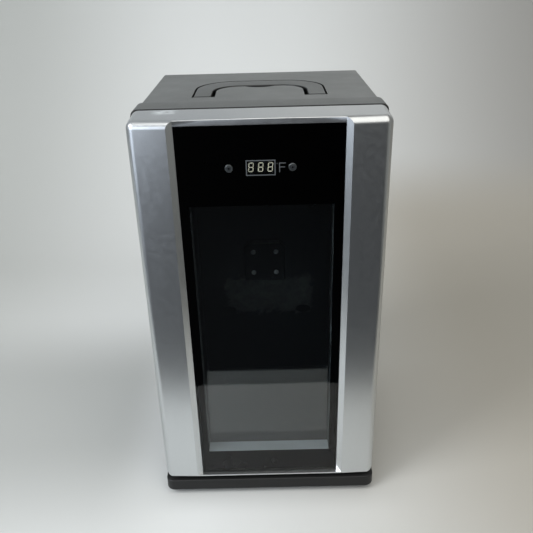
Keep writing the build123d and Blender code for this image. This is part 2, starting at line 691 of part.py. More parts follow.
def hot_heatsink():
    """The extruded heat sink: a base and upright fins."""
    sink = slab(cold_outline(SINK_WIDTH, SINK_HEIGHT), MODULE_REAR, MODULE_REAR + SINK_BASE)
    pitch = (SINK_WIDTH - SINK_FIN) / (SINK_FIN_COUNT - 1)
    low, high = COLD_Z - SINK_HEIGHT / 2, COLD_Z + SINK_HEIGHT / 2
    for index in range(SINK_FIN_COUNT):
        x = -SINK_WIDTH / 2 + index * pitch
        sink += block(x, x + SINK_FIN, MODULE_REAR, SINK_REAR, low, high)
    seat = MODULE_REAR + SINK_BASE
    for x, z in clamp_places():
        clear = rod(CLAMP_SCREW_RADIUS + 2 * CUT, (x, seat, z), (0, 1, 0), SINK_FIN_DEPTH + CUT)
        hole = rod(CLAMP_SCREW_RADIUS, (x, MODULE_REAR - CUT, z), (0, 1, 0), SINK_BASE + 2 * CUT)
        sink = sink - clear - hole
    for x, z in fan_screw_places():
        sink -= rod(FAN_SCREW_RADIUS, (x, SINK_REAR - SINK_FIN_DEPTH / 2, z), (0, 1, 0), SINK_FIN_DEPTH)
    return sink


def clamp_screws():
    """Two screws that press the heat sink onto the module."""
    length = MODULE_REAR + SINK_BASE - LINER_REAR - BULKHEAD
    sizes = (CLAMP_SCREW_RADIUS, CLAMP_SCREW_RADIUS + CUT, 2 * CUT, length)
    seat = MODULE_REAR + SINK_BASE
    return group([screw(*sizes, (x, seat, z), (0, -1, 0)) for x, z in clamp_places()])


def fan_screw_places():
    """The four corner screws of the fan, in x and z."""
    half = FAN_SCREW_PITCH / 2
    return [(i * half, COLD_Z + j * half) for i in (-1, 1) for j in (-1, 1)]


def fan_frame():
    """The fan's square frame, its struts and the bearing tube in the middle."""
    square = Pos(0, COLD_Z) * RectangleRounded(FAN_SIZE, FAN_SIZE, FAN_STRUT)
    bore = Pos(0, COLD_Z) * Circle(FAN_BORE)
    frame = slab(square - bore, SINK_REAR, FAN_REAR)
    span = 2 * FAN_BORE + CUT
    struts = Pos(0, COLD_Z) * (Rectangle(span, FAN_STRUT) + Rectangle(FAN_STRUT, span))
    hub = Pos(0, COLD_Z) * Circle(FAN_HUB_RADIUS)
    frame += slab(struts + hub, FAN_REAR - FAN_STRUT / 2, FAN_REAR)
    tube = 3 * FAN_SHAFT_RADIUS
    frame += rod(tube, (0, FAN_REAR - FAN_DEPTH / 2, COLD_Z), (0, 1, 0), FAN_DEPTH / 2)
    bearing = FAN_SHAFT_RADIUS + HINGE_RUNNING_GAP
    frame -= rod(bearing, (0, SINK_REAR, COLD_Z), (0, 1, 0), FAN_DEPTH - FAN_STRUT / 4)
    for x, z in fan_screw_places():
        frame -= rod(FAN_SCREW_RADIUS, (x, SINK_REAR - CUT, z), (0, 1, 0), FAN_DEPTH + 2 * CUT)
    return frame


def fan_rotor():
    """The rotor: a hollow hub on its shaft, with pitched blades."""
    front = SINK_REAR + FAN_STRUT / 2
    rear = FAN_REAR - FAN_STRUT
    depth = rear - front
    hub = rod(FAN_HUB_RADIUS, (0, front, COLD_Z), (0, 1, 0), depth)
    hub -= rod(FAN_HUB_RADIUS - FAN_STRUT / 2, (0, front + FAN_STRUT / 2, COLD_Z), (0, 1, 0), depth)
    hub += rod(FAN_SHAFT_RADIUS, (0, front, COLD_Z), (0, 1, 0), FAN_REAR - FAN_STRUT / 2 - front)
    span = FAN_BLADE_RADIUS - FAN_HUB_RADIUS + FAN_STRUT
    chord = depth / math.sin(math.radians(FAN_BLADE_PITCH))
    ring = rod(FAN_BLADE_RADIUS, (0, front, COLD_Z), (0, 1, 0), depth)
    ring -= rod(FAN_HUB_RADIUS - FAN_STRUT / 4, (0, front, COLD_Z), (0, 1, 0), depth)
    middle = FAN_BLADE_RADIUS - span / 2 + FAN_STRUT / 2
    blade = Rot(90 - FAN_BLADE_PITCH, 0, 0) * Box(span + FAN_STRUT, chord, FAN_BLADE)
    blade = Pos(middle, 0, 0) * blade
    rotor = hub
    for index in range(FAN_BLADES):
        turned = Pos(0, (front + rear) / 2, COLD_Z) * Rot(0, index * 360 / FAN_BLADES, 0) * blade
        rotor += turned & ring
    return rotor


def fan_screws():
    """Four screws that hold the fan to the heat sink's fins."""
    sizes = (FAN_SCREW_RADIUS, FAN_SCREW_RADIUS + CUT, CUT / 2, FAN_DEPTH + SINK_FIN_DEPTH / 2)
    return group([screw(*sizes, (x, FAN_REAR, z), (0, -1, 0)) for x, z in fan_screw_places()])


# Rear panel, power supply, inlet, sensor and plugs

def rear_panel():
    """The rear cover with the fan's ring grille, two banks of louvres and the inlet's cut-out."""
    half = CABINET_WIDTH / 2 - SHELL_WALL - REAR_FIT
    low, high = BASE_TOP + SHELL_WALL + REAR_FIT, CABINET_TOP - SHELL_WALL - REAR_FIT
    face = rect(-half, half, low, high)
    face -= fan_grille()
    for side in (-1, 1):
        for index in range(LOUVRE_COUNT):
            z = CABINET_TOP - LOUVRE_DROP + index * LOUVRE_PITCH
            face -= Pos(side * LOUVRE_OFFSET, z) * SlotOverall(LOUVRE_WIDTH, LOUVRE_HEIGHT)
    face -= inlet_outline()
    panel = slab(face, PANEL_FRONT, SHELL_REAR)
    for x, z in rear_post_places():
        panel -= rod(REAR_SCREW_RADIUS, (x, PANEL_FRONT - CUT, z), (0, 1, 0), REAR_PANEL + 2 * CUT)
    return panel


def fan_grille():
    """The ring slots over the fan, crossed by four webs."""
    slots = None
    radius = FAN_BORE
    while radius > FAN_HUB_RADIUS:
        ring = Circle(radius) - Circle(radius - GRILLE_RING)
        slots = ring if slots is None else slots + ring
        radius -= GRILLE_RING + GRILLE_WEB
    webs = Rectangle(2 * FAN_BORE, GRILLE_WEB) + Rectangle(GRILLE_WEB, 2 * FAN_BORE)
    return Pos(0, COLD_Z) * (slots - webs)


def rear_panel_screws():
    """Six screws that hold the rear panel to its posts."""
    sizes = (REAR_SCREW_RADIUS, REAR_SCREW_HEAD, REAR_SCREW_HEAD_HEIGHT, REAR_SCREW_LENGTH)
    return group([screw(*sizes, (x, SHELL_REAR, z), (0, -1, 0)) for x, z in rear_post_places()])


def power_board():
    """The switching supply's circuit board on its four posts."""
    half, tall = POWER_BOARD_WIDTH / 2, POWER_BOARD_HEIGHT / 2
    middle = BASE_TOP + POWER_BOARD_RISE
    face = rect(POWER_BOARD_X - half, POWER_BOARD_X + half, middle - tall, middle + tall)
    front = BULKHEAD_REAR + POWER_POST
    return slab(face, front, front + BOARD_THICKNESS)


def on_board(width, height, depth, offset=0.0):
    """A box that stands on the power board, centred in height."""
    seat = BULKHEAD_REAR + POWER_POST + BOARD_THICKNESS
    x, z = POWER_BOARD_X + offset, BASE_TOP + POWER_BOARD_RISE
    face = rect(x - width / 2, x + width / 2, z - height / 2, z + height / 2)
    return slab(face, seat, seat + depth)


def power_components():
    """The board's transformer, sheet cooler and capacitors, each standing on the board."""
    seat = BULKHEAD_REAR + POWER_POST + BOARD_THICKNESS
    middle = BASE_TOP + POWER_BOARD_RISE
    items = [
        on_board(TRANSFORMER_WIDTH, TRANSFORMER_HEIGHT, TRANSFORMER_DEPTH),
        on_board(COOLER_SHEET, COOLER_HEIGHT, COOLER_DEPTH, COOLER_OFFSET),
    ]
    sizes = (
        (-CAPACITOR_OFFSET, CAPACITOR_RADIUS, CAPACITOR_DEPTH),
        (CAPACITOR_OFFSET, SMALL_CAPACITOR_RADIUS, SMALL_CAPACITOR_DEPTH),
    )
    for offset, radius, depth in sizes:
        for z in (middle - CAPACITOR_SPREAD, middle + CAPACITOR_SPREAD):
            items.append(rod(radius, (POWER_BOARD_X + offset, seat, z), (0, 1, 0), depth))
    return group(items)


def inlet_outline(inset=0.0):
    """The mains inlet's outline: a rectangle with its two lower corners cut off."""
    z = BASE_TOP + INLET_RISE
    face = rect(
        INLET_X - INLET_WIDTH / 2 + inset, INLET_X + INLET_WIDTH / 2 - inset,
        z - INLET_HEIGHT / 2 + inset, z + INLET_HEIGHT / 2 - inset,
    )
    return chamfer(face.vertices().sort_by(Axis.Y)[:2], INLET_CHAMFER)


def power_inlet():
    """The moulded mains inlet: a flanged cup open to the back."""
    front = SHELL_REAR - INLET_DEPTH
    margin = INLET_FLANGE_MARGIN
    z = BASE_TOP + INLET_RISE
    flange = rect(
        INLET_X - INLET_WIDTH / 2 - margin, INLET_X + INLET_WIDTH / 2 + margin,
        z - INLET_HEIGHT / 2 - margin, z + INLET_HEIGHT / 2 + margin, margin,
    )
    cup = slab(inlet_outline(), front, SHELL_REAR)
    cup += slab(flange, SHELL_REAR, SHELL_REAR + INLET_FLANGE - CUT / 2)
    cup -= slab(inlet_outline(INLET_WALL), front + INLET_FLOOR, SHELL_REAR + INLET_FLANGE)
    for pin in inlet_pin_solids():
        cup -= pin
    return cup


def inlet_pin_solids():
    """The three flat pins of the inlet, buried through its floor."""
    front = SHELL_REAR - INLET_DEPTH
    depth = (front - INLET_FLOOR, front + INLET_FLOOR + INLET_PIN_LENGTH)
    half, tall = INLET_PIN_WIDTH / 2, INLET_PIN_HEIGHT / 2
    pins = []
    for place in (-1, 0, 1):
        x = INLET_X + place * INLET_PIN_SPREAD
        z = BASE_TOP + INLET_RISE + INLET_PIN_STAGGER * (1 - 2 * abs(place))
        pins.append(block(x - half, x + half, *depth, z - tall, z + tall))
    return pins


def inlet_pins():
    """The inlet's pins as one node."""
    return group(inlet_pin_solids())


def temperature_sensor():
    """The sensor's cap on the back wall, with a stem through it."""
    cap = slab(sensor_outline(SENSOR_RADIUS), LINER_REAR - SENSOR_PROUD, LINER_REAR)
    cap = chamfer(cap.faces().sort_by(Axis.Y)[0].edges(), SENSOR_RADIUS / 3)
    return cap + slab(sensor_outline(SENSOR_RADIUS / 2), LINER_REAR, LINER_REAR + 2 * LINER_WALL)


def liner_plugs():
    """Two oval plugs that close the liner's foaming holes."""
    stem_end = LINER_REAR + 2 * LINER_WALL
    plugs = []
    for side in (-1, 1):
        rim = slab(plug_outline(side), LINER_REAR - PLUG_PROUD / 2, LINER_REAR)
        crown = slab(plug_outline(side, PLUG_LIP), LINER_REAR - PLUG_PROUD, stem_end)
        plugs.append(rim + crown)
    return group(plugs)


# Hinge pieces

def hinge_bracket_plate(clear=0.0):
    """The bracket's upright plate, let into the rim's face."""
    half = TONGUE_RADIUS
    plate = (RIM_FRONT - clear, RIM_FRONT + BRACKET_PLATE)
    return block(HINGE_X - half, HINGE_X + half, *plate, TONGUE_TOP - BRACKET_HEIGHT, TONGUE_TOP)


def hinge_screw_places():
    """The bracket's two screws, in x and z."""
    middle = TONGUE_TOP - BRACKET_HEIGHT / 2 - TONGUE_THICKNESS / 2
    return [(HINGE_X, middle + side * HINGE_SCREW_PITCH / 2) for side in (-1, 1)]


def hinge_screw_holes():
    """The holes of the bracket's screws."""
    low, high = [
        rod(FRAME_SCREW_RADIUS, (x, RIM_FRONT, z), (0, 1, 0), FRAME_SCREW_LENGTH)
        for x, z in hinge_screw_places()
    ]
    return low + high


def hinge_bracket():
    """The upper hinge: a plate on the rim and a tongue that reaches into the door."""
    length = RIM_FRONT + BRACKET_PLATE - HINGE_Y
    tongue = Pos(HINGE_X, HINGE_Y) * Circle(TONGUE_RADIUS)
    tongue += rect(HINGE_X - TONGUE_RADIUS, HINGE_X + TONGUE_RADIUS, HINGE_Y, HINGE_Y + length)
    bracket = prism(tongue, TONGUE_BOTTOM, TONGUE_TOP) + hinge_bracket_plate()
    pin_start = (HINGE_X, HINGE_Y, TONGUE_BOTTOM - CUT)
    bracket -= rod(HINGE_PIN_RADIUS, pin_start, (0, 0, 1), TONGUE_THICKNESS + 2 * CUT)
    for x, z in hinge_screw_places():
        sink = Plane(origin=(x, RIM_FRONT, z), z_dir=(0, 1, 0))
        bracket -= sink * Cone(
            FRAME_SCREW_RADIUS + BRACKET_PLATE, FRAME_SCREW_RADIUS, BRACKET_PLATE,
            align=(Align.CENTER, Align.CENTER, Align.MIN),
        )
    return bracket


def hinge_screws():
    """Two countersunk screws that hold the bracket to the rim."""
    screws = []
    for x, z in hinge_screw_places():
        seat = Plane(origin=(x, RIM_FRONT, z), z_dir=(0, 1, 0))
        head = seat * Cone(
            FRAME_SCREW_RADIUS + BRACKET_PLATE, FRAME_SCREW_RADIUS, BRACKET_PLATE,
            align=(Align.CENTER, Align.CENTER, Align.MIN),
        )
        screws.append(head + rod(FRAME_SCREW_RADIUS, (x, RIM_FRONT, z), (0, 1, 0), FRAME_SCREW_LENGTH))
    return group(screws)


def upper_hinge_pin():
    """The pin riveted in the tongue that stands up into the door's bush."""
    length = SLOT_TOP + HINGE_BUSH_LENGTH - TONGUE_BOTTOM
    return rod(HINGE_PIN_RADIUS, (HINGE_X, HINGE_Y, TONGUE_BOTTOM), (0, 0, 1), length)


def lower_hinge_pin():
    """The pin pressed into the base that the door turns on."""
    length = DOOR_BOTTOM + HINGE_BUSH_LENGTH - pin_foot()
    return rod(HINGE_PIN_RADIUS, (HINGE_X, HINGE_Y, pin_foot()), (0, 0, 1), length)


def hinge_washer():
    """The nylon washer on the base that carries the door."""
    height = DOOR_GAP - WASHER_REST_GAP
    washer = rod(WASHER_RADIUS, (HINGE_X, HINGE_Y, BASE_TOP), (0, 0, 1), height)
    return washer - rod(HINGE_BORE, (HINGE_X, HINGE_Y, BASE_TOP - CUT), (0, 0, 1), height + 2 * CUT)


def hinge_bush(z_low):
    """A bush in the door for one hinge pin."""
    bush = rod(HINGE_BUSH_RADIUS, (HINGE_X, HINGE_Y, z_low), (0, 0, 1), HINGE_BUSH_LENGTH + CUT)
    start = (HINGE_X, HINGE_Y, z_low - CUT)
    return bush - rod(HINGE_BORE, start, (0, 0, 1), HINGE_BUSH_LENGTH + 3 * CUT)


def hinge_slot():
    """The slot in the door's rear edge that the tongue swings in."""
    reach = TONGUE_RADIUS + 2 * TONGUE_GAP + CUT
    side = HINGE_X - TONGUE_RADIUS - TONGUE_GAP
    return block(side, DOOR_WIDTH / 2 + CUT, HINGE_Y - reach, DOOR_BACK + CUT, SLOT_BOTTOM, SLOT_TOP)


# Door pieces

def door_outline(inset=0.0):
    """The door's front outline, taken in by an inset on every side."""
    half = DOOR_WIDTH / 2 - inset
    return rect(-half, half, DOOR_BOTTOM + inset, DOOR_TOP - inset, max(DOOR_EDGE - inset, CUT))


def glass_outline(inset=0.0):
    """The front glass's outline."""
    half = GLASS_WIDTH / 2 - inset
    return rect(-half, half, GLASS_BOTTOM + inset, GLASS_TOP - inset)


def window_outline(grow=0.0):
    """The clear window's outline."""
    half = WINDOW_WIDTH / 2 + grow
    return rect(-half, half, WINDOW_BOTTOM - grow, WINDOW_TOP + grow)


def frame_screw_places():
    """The screws that hold the inner frame to the door shell, in x and z."""
    low, high = DOOR_BOTTOM + FRAME_SCREW_MARGIN, DOOR_TOP - FRAME_SCREW_MARGIN
    rows = (low, (low + high) / 2, high)
    return [(side * FRAME_SCREW_X, z) for side in (-1, 1) for z in rows]


def above_door():
    """The space over the door's top, which falls from its back to its front."""
    front = DOOR_FRONT - DOOR_THICKNESS
    side = Plane.YZ * Polygon(
        (DOOR_BACK + DOOR_THICKNESS, DOOR_TOP + TOP_FALL), (front, DOOR_TOP + 2 * TOP_FALL),
        (front, DOOR_TOP - 2 * TOP_FALL), align=None,
    )
    return extrude(side, amount=DOOR_WIDTH, both=True)


def door_block():
    """The door's outside: its front falls back towards both edges, and its edges are rounded."""
    half = DOOR_WIDTH / 2
    slope = STILE_FALL / (half - STILE_INNER)
    plan = Polygon(
        (0, DOOR_FRONT - slope * STILE_INNER), (half, DOOR_FRONT + STILE_FALL),
        (half, DOOR_BACK), (0, DOOR_BACK), align=None,
    )
    right = prism(plan, DOOR_BOTTOM - 2 * DOOR_EDGE, DOOR_TOP) - above_door()
    side = right.faces().sort_by(Axis.X)[-1].edges()
    top = right.faces().sort_by(Axis.Z)[-1].edges()
    rounded = [side.sort_by(Axis.Y)[0], side.sort_by(Axis.Z)[-1], top.sort_by(Axis.Y)[0]]
    right = fillet(rounded, DOOR_EDGE)
    back = right.faces().sort_by(Axis.Y)[-1].edges()
    right = fillet([back.sort_by(Axis.X)[-1], back.sort_by(Axis.Z)[-1]], DOOR_BACK_EDGE)
    low = rect(-half - CUT, half + CUT, DOOR_BOTTOM - 3 * DOOR_EDGE, DOOR_BOTTOM + DOOR_EDGE)
    keep = rect(-half, half, DOOR_BOTTOM, DOOR_BOTTOM + 4 * DOOR_EDGE, DOOR_EDGE)
    foot = slab(low - keep, 2 * DOOR_FRONT, DOOR_BACK + CUT)
    return right + mirror(right, about=Plane.YZ) - foot


def door_channel():
    """The cut that leaves the two stiles standing proud, with its sloped sides."""
    inner = GLASS_WIDTH / 2
    slope = (STILE_INNER - inner) / GLASS_RECESS
    front = DOOR_FRONT - 2 * GLASS_RECESS
    reach = inner + slope * (GLASS_FRONT - front)
    plan = Polygon(
        (-reach, front), (reach, front), (inner, GLASS_FRONT), (-inner, GLASS_FRONT), align=None,
    )
    channel = prism(plan, GLASS_BOTTOM, DOOR_TOP + CUT)
    sill = rect(-STILE_INNER, STILE_INNER, DOOR_BOTTOM - CUT, GLASS_BOTTOM + CUT)
    return channel + slab(sill, front, DOOR_FRONT)


def door_shell():
    """The silver door front: two proud stiles, a channel for the glass, hollow behind."""
    shell = door_block() - door_channel()
    top_edge = (0, GLASS_FRONT, DOOR_TOP - TOP_FALL)
    shell = fillet(shell.edges().filter_by(Axis.X).sort_by_distance(top_edge)[0], LIP_EDGE)
    shell -= slab(glass_outline(), GLASS_FRONT - CUT, GLASS_REAR)
    shell -= slab(glass_outline(GLASS_LEDGE), GLASS_REAR - CUT, DOOR_BACK)
    half = DOOR_WIDTH / 2
    under_top = rect(-half, half, DOOR_BOTTOM, DOOR_TOP - TOP_FALL - DOOR_WALL)
    shell -= slab(door_outline(DOOR_WALL) & under_top, GLASS_REAR + DOOR_WALL, FRAME_FRONT)
    shell -= slab(door_outline(DOOR_WALL), FRAME_FRONT, DOOR_BACK + CUT)
    stile = (STILE_INNER + DOOR_WALL, DOOR_WIDTH / 2 - 2 * DOOR_WALL)
    depth = (DOOR_FRONT + STILE_FALL + DOOR_WALL, GLASS_REAR + DOOR_WALL + CUT)
    height = (DOOR_BOTTOM + DOOR_EDGE, DOOR_TOP - DOOR_EDGE)
    for side in (-1, 1):
        x_low, x_high = sorted((side * stile[0], side * stile[1]))
        shell -= slab(rect(x_low, x_high, *height), *depth)
    for x, z in frame_screw_places():
        boss = (x, depth[0] - DOOR_WALL / 2, z)
        shell += rod(FRAME_BOSS_RADIUS, boss, (0, 1, 0), FRAME_FRONT - boss[1])
        hole = (x, FRAME_FRONT - FRAME_SCREW_LENGTH + FRAME_PLATE, z)
        shell -= rod(FRAME_SCREW_RADIUS, hole, (0, 1, 0), FRAME_SCREW_LENGTH)
    shell += hinge_bosses()
    shell -= hinge_slot()
    for z_low in (DOOR_BOTTOM, SLOT_TOP):
        start = (HINGE_X, HINGE_Y, z_low - CUT)
        shell -= rod(HINGE_BUSH_RADIUS, start, (0, 0, 1), HINGE_BUSH_LENGTH + 2 * CUT)
    return shell


def hinge_bosses():
    """The two bosses in the door that hold its bushes."""
    length = HINGE_BUSH_LENGTH + CUT + DOOR_WALL / 2
    low = rod(HINGE_BOSS_RADIUS, (HINGE_X, HINGE_Y, DOOR_BOTTOM + DOOR_WALL / 2), (0, 0, 1), length)
    rise = DOOR_TOP - TOP_FALL - DOOR_WALL / 2 - SLOT_TOP
    return low + rod(HINGE_BOSS_RADIUS, (HINGE_X, HINGE_Y, SLOT_TOP), (0, 0, 1), rise)


def button_x(side):
    """The place of a button left (-1) or right (1) of the display."""
    return side * BUTTON_SPACING / 2


def front_glass():
    """The full-height front pane, drilled for the two buttons."""
    pane = slab(glass_outline(), GLASS_FRONT, GLASS_REAR)
    for side in (-1, 1):
        start = (button_x(side), GLASS_FRONT - CUT, DISPLAY_Z)
        pane -= rod(BEZEL_TUBE_RADIUS, start, (0, 1, 0), GLASS_THICKNESS + 2 * CUT)
    return pane


def black_border():
    """The black print behind the front glass, clear at the window and the display."""
    half = DISPLAY_WIDTH / 2
    face = glass_outline(GLASS_LEDGE) - window_outline()
    face -= rect(-half, half, DISPLAY_Z - DISPLAY_HEIGHT / 2, DISPLAY_Z + DISPLAY_HEIGHT / 2)
    for side in (-1, 1):
        face -= Pos(button_x(side), DISPLAY_Z) * Circle(BUTTON_COLLAR_RADIUS + CUT / 2)
    return slab(face, GLASS_REAR, PRINT_REAR)


def glass_spacer():
    """The aluminium spacer between the two panes."""
    return slab(window_outline(SPACER_WALL) - window_outline(), PRINT_REAR, SPACER_REAR)


def inner_glass():
    """The inner pane."""
    return slab(window_outline(SPACER_WALL), SPACER_REAR, INNER_PANE_REAR)


def inner_door_frame():
    """The door's rear cover: a plate, and a tunnel that holds the inner pane."""
    fit = DOOR_WALL + FRAME_FIT
    tunnel = window_outline(SPACER_WALL - TUNNEL_OVERLAP + TUNNEL_WALL)
    mouth = window_outline(SPACER_WALL - TUNNEL_OVERLAP)
    frame = slab(door_outline(fit), FRAME_FRONT, DOOR_BACK)
    frame += slab(tunnel, INNER_PANE_REAR, DOOR_BACK)
    frame -= slab(mouth, INNER_PANE_REAR - CUT, DOOR_BACK + CUT)
    for x, z in frame_screw_places():
        frame -= rod(FRAME_SCREW_RADIUS, (x, FRAME_FRONT - CUT, z), (0, 1, 0), FRAME_PLATE + 2 * CUT)
    reach = FRAME_FRONT - BOARD_REAR + FRAME_PLATE / 2
    for x in board_post_places():
        frame += rod(BOARD_POST_RADIUS, (x, BOARD_REAR, DISPLAY_Z), (0, 1, 0), reach)
    return frame - hinge_slot()


def board_post_places():
    """Where the display board is held, in x."""
    half = BOARD_WIDTH / 2 - 2 * BOARD_POST_RADIUS
    return (-half, half)


def frame_screws():
    """Six screws that hold the inner frame to the door shell."""
    sizes = (FRAME_SCREW_RADIUS, FRAME_SCREW_RADIUS * 2, CUT, FRAME_SCREW_LENGTH)
    return group([screw(*sizes, (x, DOOR_BACK, z), (0, -1, 0)) for x, z in frame_screw_places()])


def seal_ring(width):
    """A ring of one width on the seal's centre line."""
    centre = SEAL_MARGIN + SEAL_WIDTH / 2
    return compartment_outline(centre + width / 2) - compartment_outline(centre - width / 2)


def door_seal():
    """The door's seal: a base strip, a thin neck and a bulb that holds the magnets."""
    neck = DOOR_BACK + SEAL_BASE
    bulb = neck + SEAL_NECK
    seal = slab(seal_ring(SEAL_WIDTH), DOOR_BACK, neck)
    seal += slab(seal_ring(SEAL_NECK_WIDTH), neck, bulb)
    seal += slab(seal_ring(SEAL_BULB_WIDTH), bulb, RIM_FRONT - SEAL_REST_GAP)
    for strip in magnet_strips():
        seal -= strip
    return seal


def magnet_strips():
    """The four straight magnet strips inside the seal's bulb."""
    centre = SEAL_MARGIN + SEAL_WIDTH / 2
    half = COMPARTMENT_WIDTH / 2
    front = DOOR_BACK + SEAL_BASE + SEAL_NECK
    room = RIM_FRONT - SEAL_REST_GAP - front - MAGNET_THICKNESS
    depth = (front + room / 2, front + room / 2 + MAGNET_THICKNESS)
    low, high = FLOOR_Z + COMPARTMENT_CORNER, CEILING_Z - COMPARTMENT_CORNER
    strips = []
    for side in (-1, 1):
        x = side * (half + centre)
        strips.append(block(x - MAGNET_WIDTH / 2, x + MAGNET_WIDTH / 2, *depth, low, high))
    for z in (FLOOR_Z - centre, CEILING_Z + centre):
        end = half - COMPARTMENT_CORNER
        strips.append(block(-end, end, *depth, z - MAGNET_WIDTH / 2, z + MAGNET_WIDTH / 2))
    return strips


def seal_magnets():
    """The seal's magnet strips as one node."""
    return group(magnet_strips())


def display_module():
    """The three-digit display between the board and the front glass."""
    half = DISPLAY_WIDTH / 2 - CUT / 5
    tall = DISPLAY_HEIGHT / 2 - CUT / 5
    return block(-half, half, PRINT_REAR, BOARD_FRONT, DISPLAY_Z - tall, DISPLAY_Z + tall)


def display_board():
    """The display's circuit board."""
    half, tall = BOARD_WIDTH / 2, BOARD_HEIGHT / 2
    face = rect(-half, half, DISPLAY_Z - tall, DISPLAY_Z + tall)
    return slab(face, BOARD_FRONT, BOARD_REAR)


def button_rear():
    """The depth of a button's tail at rest."""
    return BOARD_FRONT - SWITCH_BODY - BUTTON_TRAVEL - CUT


def button_switches():
    """The two push switches on the display board."""
    half = SWITCH_SIZE / 2
    tip = button_rear() + BUTTON_TRAVEL + HINGE_RUNNING_GAP
    switches = []
    for side in (-1, 1):
        x = button_x(side)
        face = rect(x - half, x + half, DISPLAY_Z - half, DISPLAY_Z + half)
        plunger = rod(SWITCH_PLUNGER_RADIUS, (x, tip, DISPLAY_Z), (0, 1, 0), BOARD_FRONT - tip)
        switches.append(slab(face, BOARD_FRONT - SWITCH_BODY, BOARD_FRONT) + plunger)
    return group(switches)


def button_bezels():
    """The two ring bezels that guide the buttons through the glass."""
    bezels = []
    for side in (-1, 1):
        x = button_x(side)
        ring = rod(BEZEL_RADIUS, (x, GLASS_FRONT - BEZEL_PROUD, DISPLAY_Z), (0, 1, 0), BEZEL_PROUD)
        ring = chamfer(ring.faces().sort_by(Axis.Y)[0].edges(), BEZEL_PROUD / 2)
        ring += rod(BEZEL_TUBE_RADIUS, (x, GLASS_FRONT, DISPLAY_Z), (0, 1, 0), GLASS_THICKNESS)
        bore = BUTTON_RADIUS + HINGE_RUNNING_GAP
        start = (x, GLASS_FRONT - 2 * CUT, DISPLAY_Z)
        bezels.append(ring - rod(bore, start, (0, 1, 0), GLASS_THICKNESS + 4 * CUT))
    return group(bezels)


def button(side):
    """A push button: a dimpled plunger with a collar behind the glass."""
    x = button_x(side)
    front = GLASS_FRONT - BUTTON_PROUD
    plunger = rod(BUTTON_RADIUS, (x, front, DISPLAY_Z), (0, 1, 0), button_rear() - front)
    plunger = chamfer(plunger.faces().sort_by(Axis.Y)[0].edges(), BUTTON_PROUD / 2)
    dimple = (x, front - CUT, DISPLAY_Z)
    plunger -= rod(BUTTON_DIMPLE_RADIUS, dimple, (0, 1, 0), CUT + BUTTON_DIMPLE_DEPTH)
    seat = (x, GLASS_REAR + HINGE_RUNNING_GAP, DISPLAY_Z)
    return plunger + rod(BUTTON_COLLAR_RADIUS, seat, (0, 1, 0), BUTTON_COLLAR)


# Carry handle

def handle():
    """The folding handle: an arch with rounded feet that turn on two pins."""
    bail = prism(handle_outline() - handle_inside(), CABINET_TOP - HANDLE_THICKNESS, CABINET_TOP)
    bail = fillet(bail.faces().filter_by(Axis.Z).edges(), HANDLE_EDGE)
    reach = HANDLE_THICKNESS / 2
    for side in (-1, 1):
        middle = side * (HANDLE_WIDTH / 2 - HANDLE_ARM / 2)
        half = HANDLE_ARM / 2 + CUT
        plan = rect(middle - half, middle + half, HANDLE_FRONT - CUT, PIVOT_Y)
        corner = prism(plan, PIVOT_Z - reach - CUT, PIVOT_Z + reach + CUT)
        corner -= rod(reach, (middle - half - CUT, PIVOT_Y, PIVOT_Z), (1, 0, 0), 2 * half + 2 * CUT)
        bail -= corner
        bail -= handle_pin(side, HANDLE_PIN_ENTRY, HINGE_RUNNING_GAP)
    return bail


def handle_pins():
    """The two pivot pins of the handle."""
    return group([handle_pin(side, HANDLE_PIN_ENTRY - CUT / 2) for side in (-1, 1)])


NODES = {
    "side_wrap": side_wrap,
    "top_panel": top_panel,
    "front_rim": front_rim,
    "inner_liner": inner_liner,
    "foam_insulation": foam_insulation,
    "rear_bulkhead": rear_bulkhead,
    "base_tray": base_tray,
    "rubber_feet": rubber_feet,
    "foot_screws": foot_screws,
    "cold_plate": cold_plate,
    "cold_plate_screws": cold_plate_screws,
    "cold_block": cold_block,
    "peltier_module": peltier_module,
    "module_seal": module_seal,
    "hot_heatsink": hot_heatsink,
    "clamp_screws": clamp_screws,
    "fan_frame": fan_frame,
    "fan_rotor": fan_rotor,
    "fan_screws": fan_screws,
    "rear_panel": rear_panel,
    "rear_panel_screws": rear_panel_screws,
    "power_board": power_board,
    "power_components": power_components,
    "power_inlet": power_inlet,
    "inlet_pins": inlet_pins,
    "temperature_sensor": temperature_sensor,
    "liner_plugs": liner_plugs,
    "hinge_bracket": hinge_bracket,
    "hinge_screws": hinge_screws,
    "upper_hinge_pin": upper_hinge_pin,
    "lower_hinge_pin": lower_hinge_pin,
    "hinge_washer": hinge_washer,
    "handle_pins": handle_pins,
    "door_shell": door_shell,
    "front_glass": front_glass,
    "black_border": black_border,
    "glass_spacer": glass_spacer,
    "inner_glass": inner_glass,
    "inner_door_frame": inner_door_frame,
    "frame_screws": frame_screws,
    "door_seal": door_seal,
    "seal_magnets": seal_magnets,
    "upper_hinge_bush": lambda: hinge_bush(SLOT_TOP),
    "lower_hinge_bush": lambda: hinge_bush(DOOR_BOTTOM),
    "display_module": display_module,
    "display_board": display_board,
    "button_switches": button_switches,
    "button_bezels": button_bezels,
    "button_left": lambda: button(-1),
    "button_right": lambda: button(1),
    "handle": handle,
}

os.makedirs("parts", exist_ok=True)
for name, make in NODES.items():
    export_step(make(), f"parts/{name}.step")
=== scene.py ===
"""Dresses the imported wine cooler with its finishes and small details, and sets it in a pale studio.

The object's lengths are millimetres in the frame of the CAD model: X to the right, Y to the back,
Z up, with the origin on the floor under the middle of the base. The studio's are metres.
"""

import logging
import math
from dataclasses import dataclass, field
from enum import Enum
from functools import partial

import bmesh
import bpy
from bpy.types import Material, Mesh, Node, NodeSocket, NodeTree
from mathutils import Matrix, Vector


